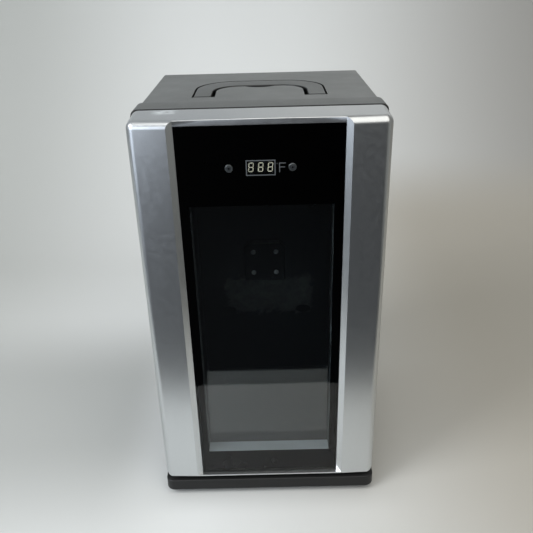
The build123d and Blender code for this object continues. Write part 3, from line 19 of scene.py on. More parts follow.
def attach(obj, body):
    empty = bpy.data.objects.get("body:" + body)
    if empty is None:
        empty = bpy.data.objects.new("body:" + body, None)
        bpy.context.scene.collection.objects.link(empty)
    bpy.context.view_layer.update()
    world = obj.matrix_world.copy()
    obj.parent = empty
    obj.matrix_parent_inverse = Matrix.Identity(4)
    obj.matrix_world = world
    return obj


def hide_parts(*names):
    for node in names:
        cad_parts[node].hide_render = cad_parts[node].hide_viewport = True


Pair = tuple[float, float]
Triple = tuple[float, float, float]
Signal = Node | NodeSocket

LOG = logging.getLogger("wine_cooler")
MM = 0.001
SHARP_ANGLE = math.radians(28.0)
SOFT_ANGLE = math.radians(60.0)
MERGE_DISTANCE = 2e-6

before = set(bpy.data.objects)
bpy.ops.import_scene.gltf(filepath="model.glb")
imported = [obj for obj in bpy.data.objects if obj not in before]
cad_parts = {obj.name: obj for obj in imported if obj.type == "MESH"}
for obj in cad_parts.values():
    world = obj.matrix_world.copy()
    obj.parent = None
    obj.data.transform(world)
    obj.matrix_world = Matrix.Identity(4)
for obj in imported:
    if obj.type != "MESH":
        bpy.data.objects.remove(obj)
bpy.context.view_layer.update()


class Body(Enum):
    """The moving bodies that a piece can ride on."""

    CABINET = "cabinet"
    DOOR = "door"
    HANDLE = "handle"
    FAN = "fan"
    BUTTON_LEFT = "button_left"
    BUTTON_RIGHT = "button_right"


def srgb(code: str) -> tuple[float, ...]:
    """Turns an sRGB hex colour into the linear colour that Blender's sockets take.

    Args:
        code: Six hex digits, with or without a leading hash.

    Returns:
        Linear red, green and blue, and full alpha.
    """
    digits = code.lstrip("#")
    linear = []
    for place in (0, 2, 4):
        value = int(digits[place:place + 2], 16) / 255.0
        linear.append(value / 12.92 if value <= 0.04045 else ((value + 0.055) / 1.055) ** 2.4)
    return (*linear, 1.0)


def cells(size_mm: float) -> float:
    """Gives a texture's scale for cells of a real size, on Object coordinates in metres."""
    return 1.0 / (size_mm * MM)


def add(tree: NodeTree, kind: str, inputs: dict | None = None, **settings) -> Node:
    """Adds one node to a tree, with its settings, values and links.

    Args:
        tree: The shader or geometry tree.
        kind: The node's type name.
        inputs: Socket name or number to a value, or to what it is linked from: an output socket, or a
            node for its first output.
        **settings: Properties of the node itself.

    Returns:
        The new node.
    """
    node = tree.nodes.new(kind)
    for name, value in settings.items():
        setattr(node, name, value)
    for key, value in (inputs or {}).items():
        socket = node.inputs[key]
        if isinstance(value, (Node, NodeSocket)):
            tree.links.new(value if isinstance(value, NodeSocket) else value.outputs[0], socket)
        else:
            socket.default_value = value
    return node


def layered(tree: NodeTree, color: object, *layers: tuple[object, object]) -> NodeSocket:
    """Lays colours over a first one, each as far as its share lets it show.

    Args:
        tree: The node tree to add to.
        color: The first colour, as hex or as a socket.
        *layers: The share of each further colour, and that colour, as hex or as a socket.

    Returns:
        The colour that is seen.
    """
    for share, over in layers:
        under, top = (srgb(tone) if isinstance(tone, str) else tone for tone in (color, over))
        color = add(tree, "ShaderNodeMix", {"Factor": share, 6: under, 7: top}, data_type="RGBA").outputs[2]
    return color


def edge_mask(
    tree: NodeTree, *edges: tuple[Signal, float, float], most: float = 1.0, curve: str = "LINEAR",
) -> Node:
    """Makes a share that is full where every value is past its edge, and nothing before it.

    Args:
        tree: The node tree to add to.
        *edges: A value, where it starts to count and where it counts in full.
        most: The full share.
        curve: How the share rises over an edge.

    Returns:
        The share.
    """
    share = None
    for value, start, end in edges:
        span = {"Value": value, "From Min": start, "From Max": end, "To Max": most if share is None else 1.0}
        step = add(tree, "ShaderNodeMapRange", span, interpolation_type=curve)
        if share is None:
            share = step
        else:
            share = add(tree, "ShaderNodeMath", {0: share, 1: step}, operation="MULTIPLY")
    return share


@dataclass(frozen=True)
class Zone:
    """A box in millimetres that limits where a mark or a colour shows."""

    low: Triple
    high: Triple
    fade: float = 0.3

    def mask(self, tree: NodeTree, place: Signal) -> Node:
        """Adds nodes that are one inside the box and fade to nothing outside it.

        Args:
            tree: The material's node tree.
            place: Object coordinates, in metres.

        Returns:
            The mask.
        """
        axes = add(tree, "ShaderNodeSeparateXYZ", {"Vector": place}).outputs
        edges = [
            (axes[axis], start * MM, end * MM)
            for axis, low, high in zip("XYZ", self.low, self.high)
            for start, end in ((low - self.fade, low), (high + self.fade, high))
        ]
        return edge_mask(tree, *edges)


# Finishes


@dataclass(frozen=True)
class Finish:
    """A finish: what the surface is made of, and the record's slot that it belongs to."""

    name: str
    slot: str
    color: str
    roughness: float
    metallic: float = 0.0
    ior: float = 1.5
    relief: float = 0.1
    relief_mm: float = 0.1
    gloss_spread: float = 0.0
    gloss_band: Pair = (0.3, 0.7)

    def material(self) -> Material:
        """Builds the material once, and gives the same one back after that.

        Returns:
            The node material.
        """
        known = bpy.data.materials.get(self.name)
        if known:
            return known
        material = bpy.data.materials.new(self.name)
        material.use_nodes = True
        tree = material.node_tree
        tree.nodes.clear()
        shader = add(
            tree, "ShaderNodeBsdfPrincipled",
            {"Base Color": srgb(self.color), "Roughness": self.roughness, "Metallic": self.metallic},
        )
        if not self.metallic:
            shader.inputs["IOR"].default_value = self.ior
        self.texture(tree, shader, add(tree, "ShaderNodeTexCoord").outputs["Object"])
        add(tree, "ShaderNodeOutputMaterial", {"Surface": shader})
        return material

    def texture(self, tree: NodeTree, shader: Node, place: NodeSocket) -> None:
        """Adds the finish's own pattern to its shader.

        Args:
            tree: The material's node tree.
            shader: The Principled shader.
            place: Object coordinates.
        """
        raise NotImplementedError

    def connect(
        self, tree: NodeTree, shader: Node, color: NodeSocket, height: Signal, uneven: Signal | None = None,
    ) -> None:
        """Gives the shader its colour, its relief and its uneven gloss.

        Args:
            tree: The material's node tree.
            shader: The Principled shader.
            color: The colour.
            height: The pattern that the relief follows.
            uneven: The pattern that the gloss follows, where it isn't even.
        """
        tree.links.new(color, shader.inputs["Base Color"])
        if uneven is not None:
            low, high = self.gloss_band
            gloss = add(tree, "ShaderNodeMapRange", {
                "Value": uneven, "From Min": low, "From Max": high,
                "To Min": self.roughness - self.gloss_spread, "To Max": self.roughness + self.gloss_spread,
            })
            tree.links.new(gloss.outputs["Result"], shader.inputs["Roughness"])
        bump = add(
            tree, "ShaderNodeBump",
            {"Height": height, "Strength": self.relief, "Distance": self.relief_mm * MM},
        )
        tree.links.new(bump.outputs["Normal"], shader.inputs["Normal"])


@dataclass(frozen=True)
class MouldedPlastic(Finish):
    """Injection-moulded plastic with a spark-eroded grain.

    Real grain is a few tenths of a millimetre, and is drawn coarser so that it shows.
    """

    relief: float = 0.12
    gloss_spread: float = 0.06
    worn: str = "#303030"
    grain_mm: float = 0.9
    cloud_mm: float = 60.0
    cloud: float = 0.35
    cloud_band: Pair = (0.38, 0.72)
    # A box painted near black as shade, where shade falls in a pocket, a gap or a dimple.
    painted_shade: Zone | None = None
    painted_shade_color: str = "#060606"
    # A box where a paler patch is spread with ragged edges; on the cold plate it is a painted highlight.
    pale_patch: Zone | None = None
    pale_patch_color: str = "#66675e"
    pale_patch_mm: float = 9.0
    pale_patch_band: Pair = (0.3, 0.65)
    pale_patch_share: Pair = (0.4, 0.9)
    pale_patch_drift: float = 5.0

    def texture(self, tree: NodeTree, shader: Node, place: NodeSocket) -> None:
        """Adds the moulding grain, a faint cloud of handling marks and uneven gloss, and where given a
        painted shade and a paler patch.
        """
        cloud = add(
            tree, "ShaderNodeTexNoise",
            {"Vector": place, "Scale": cells(self.cloud_mm), "Detail": 6.0, "Roughness": 0.62},
        )
        layers = [(edge_mask(tree, (cloud, *self.cloud_band), most=self.cloud), self.worn)]
        # Painted shade: the zone turns near black.
        if self.painted_shade:
            layers.append((self.painted_shade.mask(tree, place), self.painted_shade_color))
        # A paler patch; on the cold plate this is a painted highlight.
        if self.pale_patch:
            layers.append((self.film(tree, place), self.pale_patch_color))
        grain = add(
            tree, "ShaderNodeTexNoise",
            {"Vector": place, "Scale": cells(self.grain_mm), "Detail": 2.0, "Roughness": 0.5},
        )
        self.connect(tree, shader, layered(tree, self.color, *layers), grain, cloud)

    def film(self, tree: NodeTree, place: NodeSocket) -> Node:
        """Spreads a paler patch unevenly over its zone, with ragged edges; on the cold plate it is a painted
        highlight.

        Args:
            tree: The material's node tree.
            place: Object coordinates.

        Returns:
            The patch's share.
        """
        patch_noise = add(tree, "ShaderNodeTexNoise", {
            "Vector": place, "Scale": cells(self.pale_patch_mm),
            "Detail": 6.0, "Roughness": 0.65, "Distortion": 0.4,
        })
        (low, high), (least, most) = self.pale_patch_band, self.pale_patch_share
        thick = add(
            tree, "ShaderNodeMapRange",
            {"Value": patch_noise, "From Min": low, "From Max": high, "To Min": least, "To Max": most},
        )
        drift = add(
            tree, "ShaderNodeVectorMath",
            {0: patch_noise.outputs["Color"], 1: (0.5, 0.5, 0.5)}, operation="SUBTRACT",
        )
        ragged = add(
            tree, "ShaderNodeVectorMath",
            {0: drift, 1: (self.pale_patch_drift * self.pale_patch.fade * MM,) * 3, 2: place}, operation="MULTIPLY_ADD",
        )
        return add(tree, "ShaderNodeMath", {0: self.pale_patch.mask(tree, ragged), 1: thick}, operation="MULTIPLY")


@dataclass(frozen=True)
class MetallicPaint(Finish):
    """Silver paint with aluminium flake over moulded plastic.

    Real flake is a few hundredths of a millimetre, and is drawn coarser so that it shows.
    """

    relief: float = 0.03
    gloss_spread: float = 0.02
    gloss_band: Pair = (0.35, 0.7)
    dark_flake: str = "#7f8385"
    flake_mm: float = 0.4
    flake_band: Pair = (0.1, 0.9)
    flake_share: float = 0.3
    scuff: str = "#edf4f6"
    scratch_mm: float = 14.0
    scratch_tilt_deg: float = 38.0
    scratch_squeeze: float = 0.04
    scratch_band: Pair = (0.70, 0.72)
    scratch_share: float = 0.5
    patch_mm: float = 6.0
    patch_band: Pair = (0.38, 0.56)
    patch_share: float = 0.75
    patch_metallic: float = 0.3
    peel_mm: float = 6.0
    rub: Zone = Zone((-97.0, -104.0, 456.0), (-84.0, -100.0, 462.0), 8.0)

    def texture(self, tree: NodeTree, shader: Node, place: NodeSocket) -> None:
        """Adds fine flake, faint orange peel, a rubbed patch and a few slanting scratches."""
        flake = add(
            tree, "ShaderNodeTexVoronoi", {"Vector": place, "Scale": cells(self.flake_mm)}, feature="F1",
        )
        level = edge_mask(tree, (flake, *self.flake_band), most=self.flake_share)
        stretch = add(tree, "ShaderNodeMapping", {
            "Vector": place, "Rotation": (0.0, math.radians(self.scratch_tilt_deg), 0.0),
            "Scale": (1.0, 1.0, self.scratch_squeeze),
        })
        lines = add(
            tree, "ShaderNodeTexNoise",
            {"Vector": stretch, "Scale": cells(self.scratch_mm), "Detail": 8.0, "Roughness": 0.7},
        )
        worn = edge_mask(tree, (lines, *self.scratch_band), most=self.scratch_share)
        patch = add(
            tree, "ShaderNodeTexNoise",
            {"Vector": place, "Scale": cells(self.patch_mm), "Detail": 7.0, "Roughness": 0.7},
        )
        torn = edge_mask(tree, (patch, *self.patch_band), most=self.patch_share)
        rubbed = add(
            tree, "ShaderNodeMath", {0: torn, 1: self.rub.mask(tree, place)}, operation="MULTIPLY",
        )
        marks = add(tree, "ShaderNodeMath", {0: worn, 1: rubbed}, operation="MAXIMUM")
        color = layered(tree, self.color, (level, self.dark_flake), (marks, self.scuff))
        bare = add(
            tree, "ShaderNodeMapRange",
            {"Value": rubbed, "To Min": self.metallic, "To Max": self.patch_metallic},
        )
        tree.links.new(bare.outputs["Result"], shader.inputs["Metallic"])
        peel = add(
            tree, "ShaderNodeTexNoise", {"Vector": place, "Scale": cells(self.peel_mm), "Detail": 2.0},
        )
        self.connect(tree, shader, color, peel, peel)


@dataclass(frozen=True)
class FloatGlass(Finish):
    """Clear float glass with a trace of handling film."""

    film_mm: float = 45.0
    film_band: Pair = (0.45, 0.8)
    film: float = 0.012

    def texture(self, tree: NodeTree, shader: Node, place: NodeSocket) -> None:
        """Makes the shader transmit, and lets the film blur it slightly in places."""
        shader.inputs["Transmission Weight"].default_value = 1.0
        film = add(
            tree, "ShaderNodeTexNoise",
            {"Vector": place, "Scale": cells(self.film_mm), "Detail": 5.0, "Roughness": 0.6},
        )
        gloss = edge_mask(tree, (film, *self.film_band), most=self.film)
        tree.links.new(gloss.outputs[0], shader.inputs["Roughness"])


@dataclass(frozen=True)
class WorkedMetal(Finish):
    """Bare or plated metal with lines from rolling, drawing or turning.

    Real lines are about a tenth of a millimetre apart, and are drawn coarser so that they show.
    """

    relief_mm: float = 0.05
    gloss_spread: float = 0.08
    dull: str = "#6d7071"
    dull_band: Pair = (0.35, 0.75)
    dull_share: float = 0.55
    line_mm: float = 1.2
    along: Triple = (0.05, 1.0, 1.0)
    # Painted light: a paler tone on faces that face up.
    painted_ledge_light: str = ""
    painted_ledge_light_band: Pair = (0.5, 0.9)

    def texture(self, tree: NodeTree, shader: Node, place: NodeSocket) -> None:
        """Adds stretched lines to colour, gloss and relief, and paints a paler tone as light on ledges that
        face up.
        """
        stretch = add(tree, "ShaderNodeMapping", {"Vector": place, "Scale": self.along})
        lines = add(
            tree, "ShaderNodeTexNoise",
            {"Vector": stretch, "Scale": cells(self.line_mm), "Detail": 5.0, "Roughness": 0.6},
        )
        layers = [(edge_mask(tree, (lines, *self.dull_band), most=self.dull_share), self.dull)]
        # Painted light: faces that face up are paler.
        if self.painted_ledge_light:
            normal = add(tree, "ShaderNodeNewGeometry").outputs["Normal"]
            facing = add(tree, "ShaderNodeSeparateXYZ", {"Vector": normal})
            layers.append((edge_mask(tree, (facing.outputs["Z"], *self.painted_ledge_light_band)), self.painted_ledge_light))
        self.connect(tree, shader, layered(tree, self.color, *layers), lines, lines)


@dataclass(frozen=True)
class CellularFoam(Finish):
    """Rigid or soft foam with open cut cells."""

    relief: float = 0.5
    relief_mm: float = 0.4
    deep: str = "#8f8258"
    cell_mm: float = 1.6

    def texture(self, tree: NodeTree, shader: Node, place: NodeSocket) -> None:
        """Adds cut cells to colour and relief."""
        cell = add(
            tree, "ShaderNodeTexVoronoi", {"Vector": place, "Scale": cells(self.cell_mm)}, feature="F1",
        )
        self.connect(tree, shader, layered(tree, self.deep, (cell, self.color)), cell)


@dataclass(frozen=True)
class CircuitLaminate(Finish):
    """Glass-epoxy laminate under solder mask, with copper runs showing through."""

    relief: float = 0.2
    relief_mm: float = 0.05
    copper: str = "#2f7a4e"
    run_mm: float = 5.0
    run_share: float = 0.06

    def texture(self, tree: NodeTree, shader: Node, place: NodeSocket) -> None:
        """Adds straight copper runs as a blocky pattern under the mask."""
        turned = add(tree, "ShaderNodeMapping", {"Vector": place, "Rotation": (math.radians(90), 0.0, 0.0)})
        mask = srgb(self.color)
        runs = add(tree, "ShaderNodeTexBrick", {
            "Vector": turned, "Scale": cells(self.run_mm), "Color1": mask, "Color2": mask,
            "Mortar": srgb(self.copper), "Mortar Size": self.run_share,
        })
        self.connect(tree, shader, runs.outputs["Color"], runs.outputs["Fac"])


NO_STRETCH = (1.0, 1.0, 1.0)

# Silver flake paint: the eye sees a soft metal gradient and bright roundings, not a mirror.
SILVER_PAINT = MetallicPaint(
    "silver_flake_paint_on_abs", "silver_door", "#d2d5d6", 0.30, 0.95, dark_flake="#a9adaf",
)
# Charcoal ABS: satin, so the top picks up a pale sheen from the wall behind it. The pocket under the handle
# is painted near black as shade.
CHARCOAL_ABS = MouldedPlastic(
    "charcoal_moulded_abs", "charcoal_shell", "#5e6160", 0.42, worn="#606362", grain_mm=1.0,
    painted_shade=Zone((-79.0, -20.0, 440.0), (79.0, 84.0, 456.7), 0.2),
)
# The handle is charcoal, and below its cap it is painted near black as shade.
HANDLE_ABS = MouldedPlastic(
    "charcoal_handle_abs_painted_shade", "charcoal_shell", "#4f5251", 0.44, worn="#5a5d5c", grain_mm=1.0,
    painted_shade=Zone((-79.0, -20.0, 440.0), (79.0, 84.0, 456.6), 0.2),
)
# The rim is the same charcoal painted a little darker as shade, and near black as shade where the door's gap
# hides it from the light.
RIM_ABS = MouldedPlastic(
    "charcoal_rim_abs_painted_shade", "charcoal_shell", "#575a59", 0.46, worn="#565958", grain_mm=1.0,
    painted_shade=Zone((-140.0, -95.0, 0.0), (140.0, -83.2, 470.0), 0.3),
)
# Black ABS of the plinth, the rear and the door's back: near black with a dull sheen.
BLACK_ABS = MouldedPlastic("black_moulded_abs", "black_plastic", "#161616", 0.5, ior=1.4, worn="#202020")
# Black high-impact polystyrene of the compartment: vacuum formed, smooth and low in gloss.
LINER_HIPS = MouldedPlastic(
    "black_vacuum_formed_polystyrene", "liner_black", "#0a0d10", 0.38, worn="#0e1114", grain_mm=2.5,
    relief=0.05, pale_patch=Zone((-52.0, 45.0, 149.0), (60.0, 75.0, 196.0), 6.0),
)
# Polyurethane foam: cream, matt, full of small cut cells.
FOAM = CellularFoam("rigid_polyurethane_foam", "foam", "#d9cda2", 0.9)
# Moulded rubber: black, matt, with a bloom that turns it slightly grey.
RUBBER = MouldedPlastic(
    "black_moulded_rubber", "rubber_black", "#17171a", 0.72, worn="#2c2c2d", grain_mm=0.6, relief=0.2,
)
# Bonded ferrite in a vinyl strip: dark brown grey and dull.
MAGNET = MouldedPlastic("bonded_ferrite_strip", "magnet", "#3a3532", 0.7, worn="#4a4541", grain_mm=0.8)
# Zinc-plated steel: pale, slightly blue, with turning lines that break up its highlight.
ZINC_STEEL = WorkedMetal(
    "zinc_plated_steel", "zinc_steel", "#c3c7ca", 0.32, 1.0, dull="#8f9496", along=NO_STRETCH,
)
# The cold plate's screws: zinc painted near white and less metallic than zinc elsewhere, as painted light
# where little light reaches inside.
ZINC_PAINTED_LIGHT = WorkedMetal(
    "zinc_steel_painted_light", "zinc_steel", "#f4f3ee", 0.35, 0.45, dull="#c9cac8", along=NO_STRETCH,
)
# Extruded aluminium: pale grey with fine die lines along its length.
EXTRUDED_ALUMINIUM = WorkedMetal("mill_finish_aluminium", "aluminium", "#c6cacc", 0.38, 1.0, dull="#9a9ea0")
# Nickel-plated brass of the inlet's pins: warm and bright.
BRASS_PIN = WorkedMetal(
    "plated_brass", "brass_pin", "#d8c08a", 0.25, 1.0, dull="#a88f5c", along=(1.0, 0.05, 1.0),
)
# Alumina plates of the cooling module: white and chalky.
ALUMINA = MouldedPlastic("sintered_alumina", "ceramic_white", "#e9e7e0", 0.6, worn="#d5d2c8", grain_mm=0.7)
# Solder-masked laminate: green with copper runs just showing.
LAMINATE = CircuitLaminate("solder_masked_laminate", "board_green", "#1d4a30", 0.4)
# Float glass: clear, and seen by what it reflects.
CLEAR_GLASS = FloatGlass("clear_float_glass", "clear_glass", "#fcffff", 0.0, ior=1.42)
# Grey-tinted float glass of the inner pane: it keeps the compartment dark behind the reflections.
TINTED_GLASS = FloatGlass("grey_tinted_float_glass", "clear_glass", "#c3cace", 0.0, ior=1.42)
# Spacer bar between the panes: matt rolled aluminium, with the faces that face up painted pale blue-grey as
# light falling on them.
SPACER_BAR = WorkedMetal(
    "matt_rolled_aluminium", "aluminium", "#4c5356", 0.6, 0.5, dull="#3c4244", painted_ledge_light="#c3cccf",
)
# Ceramic print fired onto the back of the glass: deep black with no texture of its own.
BLACK_PRINT = MouldedPlastic(
    "black_ceramic_print", "black_print", "#050607", 0.3, worn="#08090a", relief=0.02, cloud=0.2,
)
# Unfilled nylon of bushes and washer: translucent off-white.
NYLON = MouldedPlastic("natural_nylon", "nylon", "#dcd8cb", 0.45, worn="#cbc6b6", grain_mm=1.2)
# Smoked polycarbonate of the display's face: black until it is lit.
SMOKED_FACE = MouldedPlastic(
    "smoked_polycarbonate", "display_black", "#0b0b0c", 0.2, worn="#101011", relief=0.02,
)
# Unlit segments: pale resin windows in the display's face.
SEGMENT_RESIN = MouldedPlastic(
    "pale_segment_resin", "display_black", "#e9e2c9", 0.5, worn="#dcd5bc", grain_mm=0.5, cloud_mm=3.0,
)
# Screen-printed grey ink on the glass.
GREY_INK = MouldedPlastic(
    "grey_screen_ink", "black_print", "#54585a", 0.55, worn="#474b4c", grain_mm=0.4, cloud_mm=2.0,
)
# The cold plate is black, with a painted highlight along its top edge.
PLATE_ABS = MouldedPlastic(
    "black_abs_painted_edge_highlight", "black_plastic", "#101112", 0.45, worn="#161718", ior=1.4,
    pale_patch=Zone((-20.0, 40.0, 252.6), (20.0, 75.0, 262.0), 0.3),
)
# Grey buttons, with the dimple in each painted near black as shade.
BUTTON_ABS = MouldedPlastic(
    "grey_button_abs", "black_plastic", "#3c4042", 0.45, worn="#343739", ior=1.25, grain_mm=0.5, cloud_mm=3.0,
    painted_shade=Zone((-60.0, -128.72, 380.0), (60.0, -100.0, 440.0), 0.03),
)
# The unit's letter is a thinner coat of the same ink.
THIN_INK = MouldedPlastic(
    "thin_grey_screen_ink", "black_print", "#5c6062", 0.55, worn="#505455", grain_mm=0.4, cloud_mm=2.0,
)
# Satin chrome of the button rings: darker than steel behind its film.
RING_CHROME = WorkedMetal(
    "satin_chrome", "zinc_steel", "#727677", 0.42, 1.0, dull="#5d6162", along=NO_STRETCH,
)


# Meshes and pieces


def finished(name: str, mesh: Mesh, body: Body, finish: Finish, replaced: tuple[str, ...] = ()) -> None:
    """Puts a finished mesh into the scene as a piece that rides on a body.

    Args:
        name: The piece's name.
        mesh: Its mesh, in metres in the shared frame.
        body: The body that carries it.
        finish: Its finish.
        replaced: The CAD nodes that it stands for.
    """
    mesh.name = name
    mesh.materials.clear()
    mesh.materials.append(finish.material())
    piece = bpy.data.objects.new(name, mesh)
    bpy.context.scene.collection.objects.link(piece)
    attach(piece, body.value)
    if replaced:
        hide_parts(*replaced)
    LOG.info("%s: %d faces on %s", name, len(mesh.polygons), body.value)


def smooth(mesh: Mesh, angle: float = SHARP_ANGLE) -> Mesh:
    """Shades a mesh smooth, and keeps the edges sharper than an angle.

    Args:
        mesh: The mesh to shade.
        angle: The angle in radians above which an edge stays sharp.

    Returns:
        The same mesh.
    """
    mesh.polygons.foreach_set("use_smooth", [True] * len(mesh.polygons))
    mesh.set_sharp_from_angle(angle=angle)
    mesh.update()
    return mesh


def merged_copy(node: str) -> Mesh:
    """Copies a CAD node's mesh with its doubles merged.

    Args:
        node: The node's name.

    Returns:
        A new mesh with shared corners.
    """
    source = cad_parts[node].data
    mesh = bpy.data.meshes.new(node)
    mesh.from_pydata([v.co for v in source.vertices], [], [tuple(p.vertices) for p in source.polygons])
    work = bmesh.new()
    work.from_mesh(mesh)
    bmesh.ops.remove_doubles(work, verts=work.verts, dist=MERGE_DISTANCE)
    bmesh.ops.dissolve_degenerate(work, edges=work.edges, dist=MERGE_DISTANCE)
    work.to_mesh(mesh)
    work.free()
    return mesh


def dress(nodes: tuple[str, ...], finish: Finish) -> None:
    """Gives CAD nodes a finish without touching their meshes.

    Args:
        nodes: The nodes' names.
        finish: Their finish.
    """
    for node in nodes:
        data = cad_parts[node].data
        data.materials.clear()
        data.materials.append(finish.material())
        LOG.info("%s: dressed as %s", node, finish.name)


def refine(nodes: tuple[str, ...], body: Body, finish: Finish) -> None:
    """Replaces CAD nodes by smooth-shaded copies of themselves.

    Args:
        nodes: The nodes' names.
        body: The body that carries them.
        finish: Their finish.
    """
    for node in nodes:
        finished(f"{node}_skin", smooth(merged_copy(node)), body, finish, (node,))


def flat_plates(outlines: list[list[Pair]], y_mm: float, thick_mm: float) -> Mesh:
    """Makes thin upright plates from outlines seen from the front.

    Args:
        outlines: Closed outlines in x and z, millimetres, anticlockwise from the front.
        y_mm: The depth of the plates' front faces.
        thick_mm: Their thickness towards the back.

    Returns:
        One mesh with every plate closed.
    """
    work = bmesh.new()
    for outline in outlines:
        front, back = (
            [work.verts.new((x * MM, y * MM, z * MM)) for x, z in outline] for y in (y_mm, y_mm + thick_mm)
        )
        work.faces.new(front)
        work.faces.new(list(reversed(back)))
        for here in range(len(outline)):
            there = (here + 1) % len(outline)
            work.faces.new((front[there], front[here], back[here], back[there]))
    bmesh.ops.recalc_face_normals(work, faces=work.faces)
    mesh = bpy.data.meshes.new("plates")
    work.to_mesh(mesh)
    work.free()
    return mesh


def box_outline(left: float, right: float, low: float, high: float) -> list[Pair]:
    """Gives a rectangle's outline in x and z, anticlockwise from the front."""
    return [(left, low), (right, low), (right, high), (left, high)]


def run_tree(tree: NodeTree, base: Mesh, values: dict[str, object]) -> Mesh:
    """Runs a geometry tree on a base mesh and gives the result as a plain mesh.

    Args:
        tree: The geometry tree.
        base: The mesh that it starts from.
        values: Input name to value.

    Returns:
        The result, with no instances left in it.
    """
    holder = bpy.data.objects.new("tree_holder", base)
    bpy.context.scene.collection.objects.link(holder)
    modifier = holder.modifiers.new("repeat", "NODES")
    modifier.node_group = tree
    for item in tree.interface.items_tree:
        if item.item_type == "SOCKET" and item.in_out == "INPUT" and item.name in values:
            modifier[item.identifier] = values[item.name]
    bpy.context.view_layer.update()
    shown = holder.evaluated_get(bpy.context.evaluated_depsgraph_get())
    mesh = bpy.data.meshes.new_from_object(shown)
    holder.modifiers.clear()
    bpy.data.objects.remove(holder)
    return mesh


def start_tree(name: str, sizes: dict[str, float]) -> tuple[NodeTree, Node]:
    """Starts a geometry tree with named size inputs.

    Args:
        name: The tree's name.
        sizes: Input name to default, in metres.

    Returns:
        The tree and its group input node.
    """
    tree = bpy.data.node_groups.new(name, "GeometryNodeTree")
    tree.interface.new_socket("Geometry", in_out="INPUT", socket_type="NodeSocketGeometry")
    for title, value in sizes.items():
        socket = tree.interface.new_socket(title, in_out="INPUT", socket_type="NodeSocketFloat")
        socket.default_value = value
    tree.interface.new_socket("Finish", in_out="INPUT", socket_type="NodeSocketMaterial")
    tree.interface.new_socket("Geometry", in_out="OUTPUT", socket_type="NodeSocketGeometry")
    return tree, add(tree, "NodeGroupInput")


def end_tree(tree: NodeTree, given: Node, geometry: Node) -> None:
    """Ends a geometry tree with its instances made real and its finish set.

    Args:
        tree: The tree.
        given: Its group input node.
        geometry: The instances to make real.
    """
    real = add(tree, "GeometryNodeRealizeInstances", {"Geometry": geometry})
    painted = add(tree, "GeometryNodeSetMaterial", {"Geometry": real, "Material": given.outputs["Finish"]})
    add(tree, "NodeGroupOutput", {"Geometry": painted})


SCREW_TREE = "cross_recess_screws"
HEAD_SIDES = 28
SPIN_SEED = 7
# A screw head's measures: the name, the input it is a share of, and the share.
HEAD_SHARES = (
    ("crown", "Head Radius", 0.5), ("long", "Head Radius", 1.05), ("thin", "Head Radius", 0.24),
    ("half", "Head Height", 0.5), ("quarter", "Head Height", 0.25),
)


